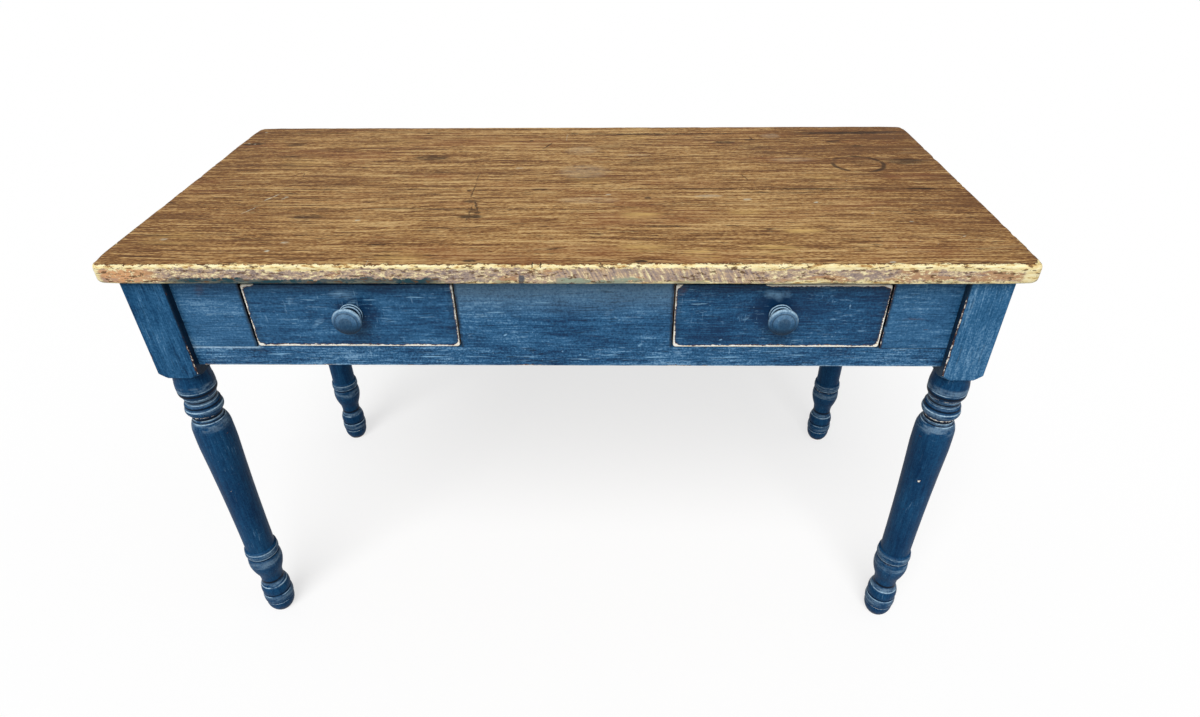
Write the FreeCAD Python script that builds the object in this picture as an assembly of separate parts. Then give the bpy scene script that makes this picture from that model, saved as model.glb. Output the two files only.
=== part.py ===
# Kitchen table with two drawers: a scrubbed pine top on a painted base with turned legs.
# Millimetres. +Z is up and the feet stand on Z = 0. X = 0 is the middle of the length. The
# front, with the drawers, faces -Y, and Y = 0 is halfway from the knobs to the back edge.
# Every piece is a solid of its own, cut by its neighbours' tenons, tongues, tails and nails.

import FreeCAD, Part
import os

Vector = FreeCAD.Vector

# ---------------------------------------------------------------- driving dimensions

TABLE_LENGTH = 1264.0
TABLE_HEIGHT = 762.0
TOP_DEPTH = 586.0
TOP_THICKNESS = 28.0

# The top: two boards, tongued and grooved.
FRONT_BOARD_WIDTH = 265.0
TONGUE_THICKNESS = 8.0
TONGUE_DEPTH = 9.0
TOP_CORNER_RADIUS = 12.0
TOP_UPPER_ROUNDING = 4.0
TOP_LOWER_ROUNDING = 3.0
TOP_SIDE_OVERHANG = 24.0
TOP_FRONT_OVERHANG = 12.0
TOP_BACK_OVERHANG = 6.0

# The legs: square posts that run down into turning.
POST_SIDE = 60.0
POST_BELOW_APRON = 16.0
POST_ARRIS = 2.0
POMMEL_SLOPE = 9.0
POMMEL_CUT = 8.0

# The aprons and the front frame, which stand back from the posts' faces.
APRON_HEIGHT = 150.0
APRON_THICKNESS = 22.0
APRON_SETBACK = 12.0
APRON_ARRIS = 1.5
FRONT_RAIL_HEIGHT = 33.0
UPPER_RAIL_THICKNESS = 12.0
CENTRE_PANEL_WIDTH = 304.0
END_PANEL_WIDTH = 96.0
TENON_THICKNESS = 8.0
TENON_SHOULDER = 5.0
TENON_WALL = 3.0
APRON_TENON_SHOULDER = 20.0
STUB_TENON_LENGTH = 10.0
STUB_TENON_SHOULDER = 12.0

# Under the top: what each drawer runs on, and the blocks that hold the top down.
RUNNER_WIDTH = 44.0
RUNNER_THICKNESS = 20.0
RUNNER_TENON_THICKNESS = 10.0
RUNNER_TENON_WALL = 1.0
GUIDE_WIDTH = 22.0
GUIDE_HEIGHT = 25.0
GUIDE_NAILS = 3
STOP_LENGTH = 30.0
STOP_WIDTH = 18.0
STOP_HEIGHT = 22.0
GLUE_BLOCK_LENGTH = 60.0
GLUE_BLOCK_SIDE = 24.0
GLUE_BLOCK_FLAT = 8.0
BACK_GLUE_BLOCKS = 3
END_GLUE_BLOCKS = 2

# The drawers.
DRAWER_REAR_SPACE = 62.0
DRAWER_FRONT_THICKNESS = 20.0
DRAWER_FRONT_CORNER = 4.0
DRAWER_FRONT_ROUNDING = 1.5
DRAWER_SIDE_THICKNESS = 11.0
DRAWER_BACK_THICKNESS = 11.0
DRAWER_BOTTOM_THICKNESS = 7.0
DRAWER_BOTTOM_RAISE = 8.0
DRAWER_SIDE_DROP = 4.0
DRAWER_BACK_DROP = 5.0
DRAWER_GROOVE_DEPTH = 5.0
DRAWER_SIDE_GAP = 2.5
DRAWER_TOP_GAP = 1.5
DRAWER_FOOT_GAP = 1.0
BOTTOM_PANEL_GAP = 0.5
BOTTOM_NAILS = 3
FRONT_TAILS = 3
BACK_TAILS = 2
DOVETAIL_LAP = 6.0
DOVETAIL_SLOPE = 6.0
PIN_TIP_WIDTH = 7.0

# Nails: round wire with flat heads.
NAIL_DIAMETER = 2.4
NAIL_HEAD_DIAMETER = 5.5
NAIL_HEAD_THICKNESS = 1.0
GUIDE_NAIL_LENGTH = 40.0
BOTTOM_NAIL_LENGTH = 25.0
NAIL_END_MARGIN = 45.0

# The knobs, each turned in one piece with the tenon that is glued through the drawer front.
KNOB_RAISE = 5.0
KNOB_PROJECTION = 30.0
KNOB_HEAD_DIAMETER = 42.0
KNOB_COLLAR_DIAMETER = 33.0
KNOB_NECK_DIAMETER = 20.0
KNOB_TENON_DIAMETER = 12.0
KNOB_TENON_CLEARANCE = 0.1

# The leg's turning as a turner marks it out, from the floor to the shaft. Each step is
# (height, cut, bulge): the cut goes in from the square post's face, and the bulge is how far
# the side from the step before stands out from a straight line, negative in a hollow.
FOOT_TURNING = [
    (0.0, 13.0, 0.0),      # underside of the foot
    (25.0, 5.2, 2.4),      # lower half of the ball foot
    (26.0, 6.1, 0.0),      # scribed line round the foot
    (27.0, 4.8, 0.0),
    (49.0, 5.0, 1.5),      # upper half of the ball foot
    (50.5, 6.0, 0.0),      # quirk
    (52.0, 4.8, 0.0),
    (77.0, 9.3, 2.2),      # foot ring, a quarter round
    (79.0, 9.8, 0.0),
    (90.0, 10.2, -0.4),    # neck
    (107.0, 6.4, -0.8),    # lower vase, hollow
    (130.0, 0.9, 0.8),     # upper vase, swelling
    (148.0, 2.4, 0.6),
    (150.0, 4.0, 0.0),     # quirk
    (151.5, 2.6, 0.0),
    (166.0, 2.0, 1.2),     # ring under the shaft
    (171.5, 4.9, 1.1),
]
SHAFT_HOLLOW = -1.2

# From the shaft to the post, as (depth below the square, cut, bulge).
NECK_TURNING = [
    (150.0, 0.0, SHAFT_HOLLOW),  # thickest part of the shaft
    (116.0, 0.3, 0.1),
    (95.0, 5.6, 1.4),      # shoulder of the shaft
    (94.0, 6.6, 0.0),      # scribed line round the shoulder
    (93.0, 6.5, 0.0),
    (86.0, 7.1, -0.3),     # neck
    (85.0, 6.2, 0.0),
    (82.5, 6.2, 0.0),      # fillet
    (68.0, 3.1, 3.2),      # bead
    (67.0, 4.1, 0.0),      # scribed line round the bead
    (66.0, 3.2, 0.0),
    (61.0, 4.7, 0.7),
    (60.0, 5.7, 0.0),
    (57.5, 5.7, 0.0),      # fillet
    (50.0, 5.9, -0.3),     # upper neck
    (49.0, 4.9, 0.0),
    (46.5, 4.9, 0.0),      # fillet
    (36.0, 1.3, 1.4),      # lip of the cup
    (22.0, 1.4, 0.3),
    (5.0, 3.1, -0.4),      # cup
    (0.0, 2.5, -0.2),
]

# The knob's head, as (distance short of its face, radius short of the head's, bulge).
KNOB_HEAD_TURNING = [
    (11.0, 3.4, -0.8),     # underside of the head
    (7.4, 0.0, 0.5),       # rim
    (3.6, 4.2, 0.9),
    (3.0, 5.0, 0.0),       # scribed ring on the face
]
KNOB_COLLAR_THICKNESS = 4.0
KNOB_RING_STEP = 2.2
KNOB_RING_THICKNESS = 3.2
KNOB_EDGE_BULGE = 0.7

# ---------------------------------------------------------------- levels and lines

NEAR = 0.001
TOP_UNDERSIDE = TABLE_HEIGHT - TOP_THICKNESS
APRON_BOTTOM = TOP_UNDERSIDE - APRON_HEIGHT
POST_BOTTOM = APRON_BOTTOM - POST_BELOW_APRON
RAIL_TOP = APRON_BOTTOM + FRONT_RAIL_HEIGHT
UPPER_RAIL_BOTTOM = TOP_UNDERSIDE - UPPER_RAIL_THICKNESS

KNOB_PROUD = max(0.0, KNOB_PROJECTION - TOP_FRONT_OVERHANG - APRON_SETBACK)
OVERALL_DEPTH = TOP_DEPTH + KNOB_PROUD
BACK_EDGE = OVERALL_DEPTH / 2
FRONT_EDGE = BACK_EDGE - TOP_DEPTH
BOARD_JOINT = FRONT_EDGE + FRONT_BOARD_WIDTH

POST_OUTER_X = TABLE_LENGTH / 2 - TOP_SIDE_OVERHANG
POST_INNER_X = POST_OUTER_X - POST_SIDE
FRONT_POST_FACE = FRONT_EDGE + TOP_FRONT_OVERHANG
BACK_POST_FACE = BACK_EDGE - TOP_BACK_OVERHANG
FRONT_POST_INNER = FRONT_POST_FACE + POST_SIDE
BACK_POST_INNER = BACK_POST_FACE - POST_SIDE

FRONT_FRAME_Y = (FRONT_POST_FACE + APRON_SETBACK, FRONT_POST_FACE + APRON_SETBACK + APRON_THICKNESS)
BACK_APRON_Y = (BACK_POST_FACE - APRON_SETBACK - APRON_THICKNESS, BACK_POST_FACE - APRON_SETBACK)
END_APRON_X = (POST_OUTER_X - APRON_SETBACK - APRON_THICKNESS, POST_OUTER_X - APRON_SETBACK)

# The tenons from front and end stop short of each other inside the post, and the runners'
# tenons stop short of the stub tenons inside the front rail.
TENON_LENGTH = POST_SIDE - APRON_SETBACK - (APRON_THICKNESS + TENON_THICKNESS) / 2 - TENON_WALL
RUNNER_TENON_LENGTH = (APRON_THICKNESS - TENON_THICKNESS) / 2 - RUNNER_TENON_WALL

OPENING_INNER_X = CENTRE_PANEL_WIDTH / 2
OPENING_OUTER_X = POST_INNER_X - END_PANEL_WIDTH
DRAWER_INNER_X = OPENING_INNER_X + DRAWER_SIDE_GAP
DRAWER_OUTER_X = OPENING_OUTER_X - DRAWER_SIDE_GAP
DRAWER_FACE = FRONT_FRAME_Y[0]
DRAWER_REAR = BACK_APRON_Y[0] - DRAWER_REAR_SPACE
DRAWER_FRONT_BACK = DRAWER_FACE + DRAWER_FRONT_THICKNESS
DRAWER_FRONT_Z = (RAIL_TOP + DRAWER_FOOT_GAP, UPPER_RAIL_BOTTOM - DRAWER_TOP_GAP)
DRAWER_SIDE_Z = (RAIL_TOP, DRAWER_FRONT_Z[1] - DRAWER_SIDE_DROP)
DRAWER_BOTTOM_Z = (RAIL_TOP + DRAWER_BOTTOM_RAISE, RAIL_TOP + DRAWER_BOTTOM_RAISE + DRAWER_BOTTOM_THICKNESS)
DRAWER_BACK_Z = (DRAWER_BOTTOM_Z[1], DRAWER_SIDE_Z[1] - DRAWER_BACK_DROP)

# ---------------------------------------------------------------- shapes


def middle(span):
    """The middle of a (low, high) span."""
    return (span[0] + span[1]) / 2


def centred(centre, width):
    """The (low, high) span of a width about its centre."""
    return (centre - width / 2, centre + width / 2)


def box(x_span, y_span, z_span):
    """A block that fills a (low, high) span along each axis."""
    spans = (x_span, y_span, z_span)
    sizes = [high - low for low, high in spans]
    corner = Vector(*[low for low, high in spans])
    return Part.makeBox(*sizes, corner)


def mirrored(shape):
    """The same piece on the other side of X = 0."""
    return shape.mirror(Vector(0, 0, 0), Vector(1, 0, 0))


def edges_in_plane(shape, axis, value):
    """The edges whose ends all have this value along an axis: 0 is X, 1 is Y, 2 is Z."""
    return [edge for edge in shape.Edges
            if all(abs(end.Point[axis] - value) < NEAR for end in edge.Vertexes)]


def edges_along(shape, axis):
    """The straight edges that run along an axis."""
    found = []
    for edge in shape.Edges:
        run = edge.Vertexes[-1].Point - edge.Vertexes[0].Point
        across = [abs(run[other]) for other in range(3) if other != axis]
        if max(across) < NEAR and abs(run[axis]) > NEAR:
            found.append(edge)
    return found


def prism(corners, along):
    """A solid with this flat outline, as long as the vector along."""
    wire = Part.makePolygon(corners + corners[:1])
    return Part.Face(wire).extrude(along)


def turning(steps):
    """A solid turned about Z from (height, radius, bulge) steps that go upwards."""
    points = [Vector(radius, 0, height) for height, radius, bulge in steps]
    foot = Vector(0, 0, steps[0][0])
    head = Vector(0, 0, steps[-1][0])
    edges = [Part.LineSegment(foot, points[0]).toShape()]
    for low, high, step in zip(points, points[1:], steps[1:]):
        bulge = step[2]
        if bulge == 0.0:
            edges.append(Part.LineSegment(low, high).toShape())
            continue
        run = (high - low).normalize()
        crown = (low + high) * 0.5 + Vector(run.z, 0, -run.x) * bulge
        edges.append(Part.Arc(low, crown, high).toShape())
    if points[-1].distanceToPoint(head) > NEAR:
        edges.append(Part.LineSegment(points[-1], head).toShape())
    edges.append(Part.LineSegment(head, foot).toShape())
    face = Part.Face(Part.Wire(edges))
    return face.revolve(Vector(0, 0, 0), Vector(0, 0, 1), 360)


def cap_bulge(radius, rise):
    """The bulge of an arc that rises to the axis and crosses it squarely, as a dome does."""
    chord = (radius ** 2 + rise ** 2) ** 0.5
    sphere = chord ** 2 / (2 * rise)
    return sphere - (sphere ** 2 - chord ** 2 / 4) ** 0.5


def nail(point, direction, length):
    """A wire nail whose head lies flush at a point, driven along a direction."""
    head = Part.makeCylinder(NAIL_HEAD_DIAMETER / 2, NAIL_HEAD_THICKNESS, point, direction)
    return head.fuse(Part.makeCylinder(NAIL_DIAMETER / 2, length, point, direction))


def spread(span, margin, count):
    """Evenly spaced places in a span, the outer ones a margin from its ends."""
    reach = span[1] - span[0] - 2 * margin
    return [span[0] + margin + reach * index / (count - 1) for index in range(count)]


# ---------------------------------------------------------------- the top


def top_slab():
    """Both boards in one, with worn corners and edges."""
    slab = box(centred(0, TABLE_LENGTH), (FRONT_EDGE, BACK_EDGE), (TOP_UNDERSIDE, TABLE_HEIGHT))
    slab = slab.makeFillet(TOP_CORNER_RADIUS, edges_along(slab, 2))
    slab = slab.makeFillet(TOP_UPPER_ROUNDING, edges_in_plane(slab, 2, TABLE_HEIGHT))
    return slab.makeFillet(TOP_LOWER_ROUNDING, edges_in_plane(slab, 2, TOP_UNDERSIDE))


def top_boards():
    """The front board with its tongue, and the back board with the groove for it."""
    slab = top_slab()
    length = centred(0, TABLE_LENGTH)
    tongue_z = centred(TABLE_HEIGHT - TOP_THICKNESS / 2, TONGUE_THICKNESS)
    tongue = box(length, (BOARD_JOINT, BOARD_JOINT + TONGUE_DEPTH), tongue_z)
    whole_z = (TOP_UNDERSIDE, TABLE_HEIGHT)
    front = slab.common(box(length, (FRONT_EDGE, BOARD_JOINT), whole_z)).fuse(tongue)
    back = slab.common(box(length, (BOARD_JOINT, BACK_EDGE), whole_z)).cut(tongue)
    return {"top_front_board": front, "top_back_board": back}


# ---------------------------------------------------------------- the base


def leg():
    """One leg on the Z axis: a square post whose corners are turned off above the cup."""
    side = centred(0, POST_SIDE)
    post = box(side, side, (POST_BOTTOM, TOP_UNDERSIDE))
    post = post.makeFillet(POST_ARRIS, edges_along(post, 2))
    corner = POST_SIDE * 2 ** 0.5 / 2
    pommel = turning([(POST_BOTTOM, corner - POMMEL_CUT, 0.0),
                      (POST_BOTTOM + POMMEL_SLOPE, corner, 0.0),
                      (TOP_UNDERSIDE, corner, 0.0)])
    steps = [(height, POST_SIDE / 2 - cut, bulge) for height, cut, bulge in FOOT_TURNING]
    steps += [(POST_BOTTOM - depth, POST_SIDE / 2 - cut, bulge)
              for depth, cut, bulge in NECK_TURNING]
    return post.common(pommel).fuse(turning(steps))


def eased(board, axis):
    """A board with its two lower long edges rounded."""
    long_edges = edges_along(board, axis)
    lowest = board.BoundBox.ZMin
    return board.makeFillet(APRON_ARRIS, [edge for edge in long_edges if edge.BoundBox.ZMax < lowest + NEAR])


def tenoned_x(x_span, y_span, z_span, shoulder):
    """A rail that ends at both posts, with a tenon of its own in each."""
    rail = eased(box(x_span, y_span, z_span), 0)
    tenon_y = centred(middle(y_span), TENON_THICKNESS)
    tenon_z = (z_span[0] + shoulder, z_span[1] - shoulder)
    tenon_x = (x_span[0] - TENON_LENGTH, x_span[1] + TENON_LENGTH)
    return rail.fuse(box(tenon_x, tenon_y, tenon_z))


def front_rail():
    """The rail under the drawers, from post to post."""
    return tenoned_x((-POST_INNER_X, POST_INNER_X), FRONT_FRAME_Y, (APRON_BOTTOM, RAIL_TOP),
                     TENON_SHOULDER)


def back_apron():
    """The apron along the back."""
    return tenoned_x((-POST_INNER_X, POST_INNER_X), BACK_APRON_Y, (APRON_BOTTOM, TOP_UNDERSIDE),
                     APRON_TENON_SHOULDER)


def end_apron():
    """The apron at the right end, with its tenons running front to back."""
    apron = box(END_APRON_X, (FRONT_POST_INNER, BACK_POST_INNER), (APRON_BOTTOM, TOP_UNDERSIDE))
    apron = eased(apron, 1)
    tenon_y = (FRONT_POST_INNER - TENON_LENGTH, BACK_POST_INNER + TENON_LENGTH)
    tenon_x = centred(middle(END_APRON_X), TENON_THICKNESS)
    tenon_z = (APRON_BOTTOM + APRON_TENON_SHOULDER, TOP_UNDERSIDE - APRON_TENON_SHOULDER)
    return apron.fuse(box(tenon_x, tenon_y, tenon_z))


def stub_tenon(x_span):
    """The tenon that stands a piece of the front frame on the rail."""
    tenon_x = (x_span[0] + STUB_TENON_SHOULDER, x_span[1] - STUB_TENON_SHOULDER)
    tenon_y = centred(middle(FRONT_FRAME_Y), TENON_THICKNESS)
    return box(tenon_x, tenon_y, (RAIL_TOP - STUB_TENON_LENGTH, RAIL_TOP))


def front_end_panel():
    """The piece between the right drawer and the right post."""
    x_span = (OPENING_OUTER_X, POST_INNER_X)
    panel = box(x_span, FRONT_FRAME_Y, (RAIL_TOP, TOP_UNDERSIDE))
    tenon_y = centred(middle(FRONT_FRAME_Y), TENON_THICKNESS)
    tenon_z = (RAIL_TOP + APRON_TENON_SHOULDER, TOP_UNDERSIDE - APRON_TENON_SHOULDER)
    tenon = box((POST_INNER_X, POST_INNER_X + TENON_LENGTH), tenon_y, tenon_z)
    return panel.fuse(tenon).fuse(stub_tenon(x_span))


def front_centre_panel():
    """The piece between the two drawers."""
    x_span = centred(0, CENTRE_PANEL_WIDTH)
    panel = box(x_span, FRONT_FRAME_Y, (RAIL_TOP, TOP_UNDERSIDE))
    return panel.fuse(stub_tenon(x_span))


def upper_rail():
    """The thin rail over the right drawer, glued under the top between the two panels."""
    return box((OPENING_INNER_X, OPENING_OUTER_X), FRONT_FRAME_Y, (UPPER_RAIL_BOTTOM, TOP_UNDERSIDE))


def runner(opening_edge, inward):
    """The rail that one drawer side slides on. Inward is +1 or -1, towards the drawer."""
    edges = (opening_edge - inward * GUIDE_WIDTH, opening_edge + inward * (RUNNER_WIDTH - GUIDE_WIDTH))
    x_span = (min(edges), max(edges))
    body = box(x_span, (FRONT_FRAME_Y[1], BACK_APRON_Y[0]), (RAIL_TOP - RUNNER_THICKNESS, RAIL_TOP))
    tenon_y = (FRONT_FRAME_Y[1] - RUNNER_TENON_LENGTH, BACK_APRON_Y[0] + RUNNER_TENON_LENGTH)
    tenon_z = centred(RAIL_TOP - RUNNER_THICKNESS / 2, RUNNER_TENON_THICKNESS)
    return body.fuse(box(x_span, tenon_y, tenon_z))


def guide_span(opening_edge, inward):
    """The guide's place along X, beside the opening and clear of the drawer."""
    edges = (opening_edge, opening_edge - inward * GUIDE_WIDTH)
    return (min(edges), max(edges))


def guide(opening_edge, inward):
    """The strip on a runner that keeps the drawer straight."""
    z_span = (RAIL_TOP, RAIL_TOP + GUIDE_HEIGHT)
    return box(guide_span(opening_edge, inward), (FRONT_FRAME_Y[1], BACK_APRON_Y[0]), z_span)


def stop(opening_edge, inward):
    """The block behind a drawer side that leaves the closed drawer flush with the front."""
    edges = (opening_edge, opening_edge + inward * STOP_WIDTH)
    y_span = (DRAWER_REAR, DRAWER_REAR + STOP_LENGTH)
    return box((min(edges), max(edges)), y_span, (RAIL_TOP, RAIL_TOP + STOP_HEIGHT))


def guide_nails(opening_edge, inward):
    """The nails down through one guide into its runner."""
    x = middle(guide_span(opening_edge, inward))
    places = spread((FRONT_FRAME_Y[1], BACK_APRON_Y[0]), NAIL_END_MARGIN, GUIDE_NAILS)
    top = RAIL_TOP + GUIDE_HEIGHT
    return [nail(Vector(x, y, top), Vector(0, 0, -1), GUIDE_NAIL_LENGTH) for y in places]


def glue_block(corner, inward, along):
    """A block in the angle of an apron and the top.

    The corner is where apron, top and the block's end meet. Inward points away from the
    apron, and along runs down the apron.
    """
    down = Vector(0, 0, -1)
    side = GLUE_BLOCK_SIDE
    flat = GLUE_BLOCK_FLAT
    outline = [corner,
               corner + inward * side,
               corner + inward * side + down * flat,
               corner + inward * flat + down * side,
               corner + down * side]
    return prism(outline, along * GLUE_BLOCK_LENGTH)


def back_glue_blocks():
    """The blocks along the back apron."""
    places = spread((-POST_INNER_X, POST_INNER_X), GLUE_BLOCK_LENGTH * 2, BACK_GLUE_BLOCKS)
    corners = [Vector(x - GLUE_BLOCK_LENGTH / 2, BACK_APRON_Y[0], TOP_UNDERSIDE) for x in places]
    return [glue_block(corner, Vector(0, -1, 0), Vector(1, 0, 0)) for corner in corners]


def front_glue_block():
    """The block behind the centre panel."""
    corner = Vector(-GLUE_BLOCK_LENGTH / 2, FRONT_FRAME_Y[1], TOP_UNDERSIDE)
    return glue_block(corner, Vector(0, 1, 0), Vector(1, 0, 0))


def end_glue_blocks():
    """The blocks along the right end apron."""
    places = spread((FRONT_POST_INNER, BACK_POST_INNER), GLUE_BLOCK_LENGTH * 2, END_GLUE_BLOCKS)
    corners = [Vector(END_APRON_X[0], y - GLUE_BLOCK_LENGTH / 2, TOP_UNDERSIDE) for y in places]
    return [glue_block(corner, Vector(-1, 0, 0), Vector(0, 1, 0)) for corner in corners]


# ---------------------------------------------------------------- the right drawer


def dovetails(x_span, root, tip, z_span, count):
    """The tails at one end of a drawer side: they widen from root to tip along Y."""
    pitch = (z_span[1] - z_span[0]) / count
    half_tip = (pitch - PIN_TIP_WIDTH) / 2
    half_root = half_tip - abs(tip - root) / DOVETAIL_SLOPE
    width = Vector(x_span[1] - x_span[0], 0, 0)
    tails = []
    for index in range(count):
        z = z_span[0] + pitch * (index + 0.5)
        outline = [Vector(x_span[0], root, z - half_root),
                   Vector(x_span[0], tip, z - half_tip),
                   Vector(x_span[0], tip, z + half_tip),
                   Vector(x_span[0], root, z + half_root)]
        tails.append(prism(outline, width))
    return tails


def drawer_side(x_span):
    """One side, tailed into the front and round the back's pins, grooved for the bottom."""
    side = box(x_span, (DRAWER_FRONT_BACK, DRAWER_REAR), DRAWER_SIDE_Z)
    tip = DRAWER_FACE + DOVETAIL_LAP
    side = side.fuse(dovetails(x_span, DRAWER_FRONT_BACK, tip, DRAWER_SIDE_Z, FRONT_TAILS))
    return side.cut(drawer_pins(x_span)).cut(bottom_panel())


def drawer_pins(x_span):
    """The back's pins at one end, between the side's tails."""
    root = DRAWER_REAR - DRAWER_BACK_THICKNESS
    block = box(x_span, (root, DRAWER_REAR), DRAWER_BACK_Z)
    return block.cut(Part.makeCompound(dovetails(x_span, root, DRAWER_REAR, DRAWER_BACK_Z, BACK_TAILS)))


def drawer_back(side_spans):
    """The back, which stands on the bottom and is pinned between the sides."""
    inner = (side_spans[0][1], side_spans[1][0])
    back = box(inner, (DRAWER_REAR - DRAWER_BACK_THICKNESS, DRAWER_REAR), DRAWER_BACK_Z)
    return back.fuse([drawer_pins(span) for span in side_spans])


def bottom_panel():
    """The bottom board, let into grooves in the sides and front and run out under the back."""
    inset = DRAWER_SIDE_THICKNESS - DRAWER_GROOVE_DEPTH + BOTTOM_PANEL_GAP
    x_span = (DRAWER_INNER_X + inset, DRAWER_OUTER_X - inset)
    y_span = (DRAWER_FRONT_BACK - DRAWER_GROOVE_DEPTH + BOTTOM_PANEL_GAP, DRAWER_REAR)
    return box(x_span, y_span, DRAWER_BOTTOM_Z)


def bottom_nails():
    """The nails up through the bottom into the back."""
    places = spread((DRAWER_INNER_X, DRAWER_OUTER_X), NAIL_END_MARGIN, BOTTOM_NAILS)
    y = DRAWER_REAR - DRAWER_BACK_THICKNESS / 2
    return [nail(Vector(x, y, DRAWER_BOTTOM_Z[0]), Vector(0, 0, 1), BOTTOM_NAIL_LENGTH)
            for x in places]


def drawer_front():
    """The front board, with rounded corners and edges and a hole for the knob's tenon."""
    front = box((DRAWER_INNER_X, DRAWER_OUTER_X), (DRAWER_FACE, DRAWER_FRONT_BACK), DRAWER_FRONT_Z)
    front = front.makeFillet(DRAWER_FRONT_CORNER, edges_along(front, 1))
    front = front.makeFillet(DRAWER_FRONT_ROUNDING, edges_in_plane(front, 1, DRAWER_FACE))
    radius = KNOB_TENON_DIAMETER / 2 + KNOB_TENON_CLEARANCE
    centre = knob_centre()
    return front.cut(Part.makeCylinder(radius, DRAWER_FRONT_THICKNESS, centre, Vector(0, 1, 0)))


def knob_centre():
    """Where the knob's middle meets the right drawer's face, a little above the face's own middle."""
    height = middle(DRAWER_FRONT_Z) + KNOB_RAISE
    return Vector(middle((DRAWER_INNER_X, DRAWER_OUTER_X)), DRAWER_FACE, height)


def knob():
    """The knob and its tenon, turned about Z and then laid along -Y."""
    tenon = KNOB_TENON_DIAMETER / 2
    collar = KNOB_COLLAR_DIAMETER / 2
    neck = KNOB_NECK_DIAMETER / 2
    head = KNOB_HEAD_DIAMETER / 2
    ring_top = KNOB_COLLAR_THICKNESS + KNOB_RING_THICKNESS
    steps = [(-DRAWER_FRONT_THICKNESS, tenon, 0.0),
             (0.0, tenon, 0.0),
             (0.0, collar - KNOB_EDGE_BULGE, 0.0),
             (KNOB_COLLAR_THICKNESS, collar - KNOB_EDGE_BULGE, KNOB_EDGE_BULGE),
             (KNOB_COLLAR_THICKNESS, collar - KNOB_RING_STEP, 0.0),
             (ring_top, collar - KNOB_RING_STEP, KNOB_EDGE_BULGE),
             (ring_top, neck, 0.0)]
    steps += [(KNOB_PROJECTION - depth, head - short, bulge)
              for depth, short, bulge in KNOB_HEAD_TURNING]
    steps.append((KNOB_PROJECTION, 0.0, cap_bulge(steps[-1][1], KNOB_PROJECTION - steps[-1][0])))
    shape = turning(steps)
    shape.rotate(Vector(0, 0, 0), Vector(1, 0, 0), 90)
    shape.translate(knob_centre())
    return shape


def drawer():
    """Every piece of the right drawer, cut to fit one another."""
    inner = (DRAWER_INNER_X, DRAWER_INNER_X + DRAWER_SIDE_THICKNESS)
    outer = (DRAWER_OUTER_X - DRAWER_SIDE_THICKNESS, DRAWER_OUTER_X)
    inner_side = drawer_side(inner)
    outer_side = drawer_side(outer)
    nails = bottom_nails()
    bottom = bottom_panel()
    return {"front": drawer_front().cut([inner_side, outer_side, bottom]),
            "inner_side": inner_side,
            "outer_side": outer_side,
            "back": drawer_back((inner, outer)).cut(nails),
            "bottom": bottom.cut(nails),
            "bottom_nails": Part.makeCompound(nails),
            "knob": knob()}


# ---------------------------------------------------------------- the whole table


def drawer_supports():
    """The right drawer's runners, guides and stops, and all their nails."""
    pieces = {}
    nails = []
    for name, edge, inward in (("inner", OPENING_INNER_X, 1), ("outer", OPENING_OUTER_X, -1)):
        driven = guide_nails(edge, inward)
        pieces[name + "_runner"] = runner(edge, inward).cut(driven)
        pieces[name + "_guide"] = guide(edge, inward).cut(driven)
        pieces[name + "_stop"] = stop(edge, inward)
        nails += driven
    pieces["guide_nails"] = Part.makeCompound(nails)
    return pieces


def both_sides(pieces, group):
    """Named pieces of the right side and their mirror images on the left."""
    named = {}
    for name, shape in pieces.items():
        named["right_" + group + name] = shape
        named["left_" + group + name] = mirrored(shape)
    return named


def frame():
    """The legs and everything that is tenoned into them."""
    supports = both_sides(drawer_supports(), "drawer_")
    runners = [shape for name, shape in supports.items() if name.endswith("runner")]
    uprights = both_sides({"end_panel": front_end_panel()}, "front_")
    uprights["front_centre_panel"] = front_centre_panel()
    rails = {"front_rail": front_rail().cut(list(uprights.values()) + runners),
             "back_apron": back_apron().cut(runners)}
    rails.update(both_sides({"apron": end_apron()}, "end_"))
    pieces = {}
    pieces.update(supports)
    pieces.update(uprights)
    pieces.update(rails)
    pieces.update(both_sides({"rail": upper_rail()}, "upper_"))
    tenoned = list(uprights.values()) + list(rails.values())
    rows = (("front", FRONT_POST_FACE + POST_SIDE / 2), ("back", BACK_POST_FACE - POST_SIDE / 2))
    sides = (("left", POST_SIDE / 2 - POST_OUTER_X), ("right", POST_OUTER_X - POST_SIDE / 2))
    for row, post_y in rows:
        for side, post_x in sides:
            blank = leg()
            blank.translate(Vector(post_x, post_y, 0))
            pieces[row + "_" + side + "_leg"] = blank.cut(tenoned)
    return pieces


def table():
    """Every node by name."""
    pieces = top_boards()
    pieces.update(frame())
    pieces["back_glue_blocks"] = Part.makeCompound(back_glue_blocks())
    pieces["front_glue_block"] = front_glue_block()
    pieces.update(both_sides({"glue_blocks": Part.makeCompound(end_glue_blocks())}, "end_"))
    pieces.update(both_sides(drawer(), "drawer_"))
    return pieces


os.makedirs("parts", exist_ok=True)
for name, shape in sorted(table().items()):
    shape.exportStep(os.path.join("parts", name + ".step"))
    print(name, len(shape.Solids), "solid(s), valid:", shape.isValid(), "volume:", round(shape.Volume))
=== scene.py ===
import math

import bmesh
import bpy
import numpy as np
from mathutils import Matrix, Vector


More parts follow.
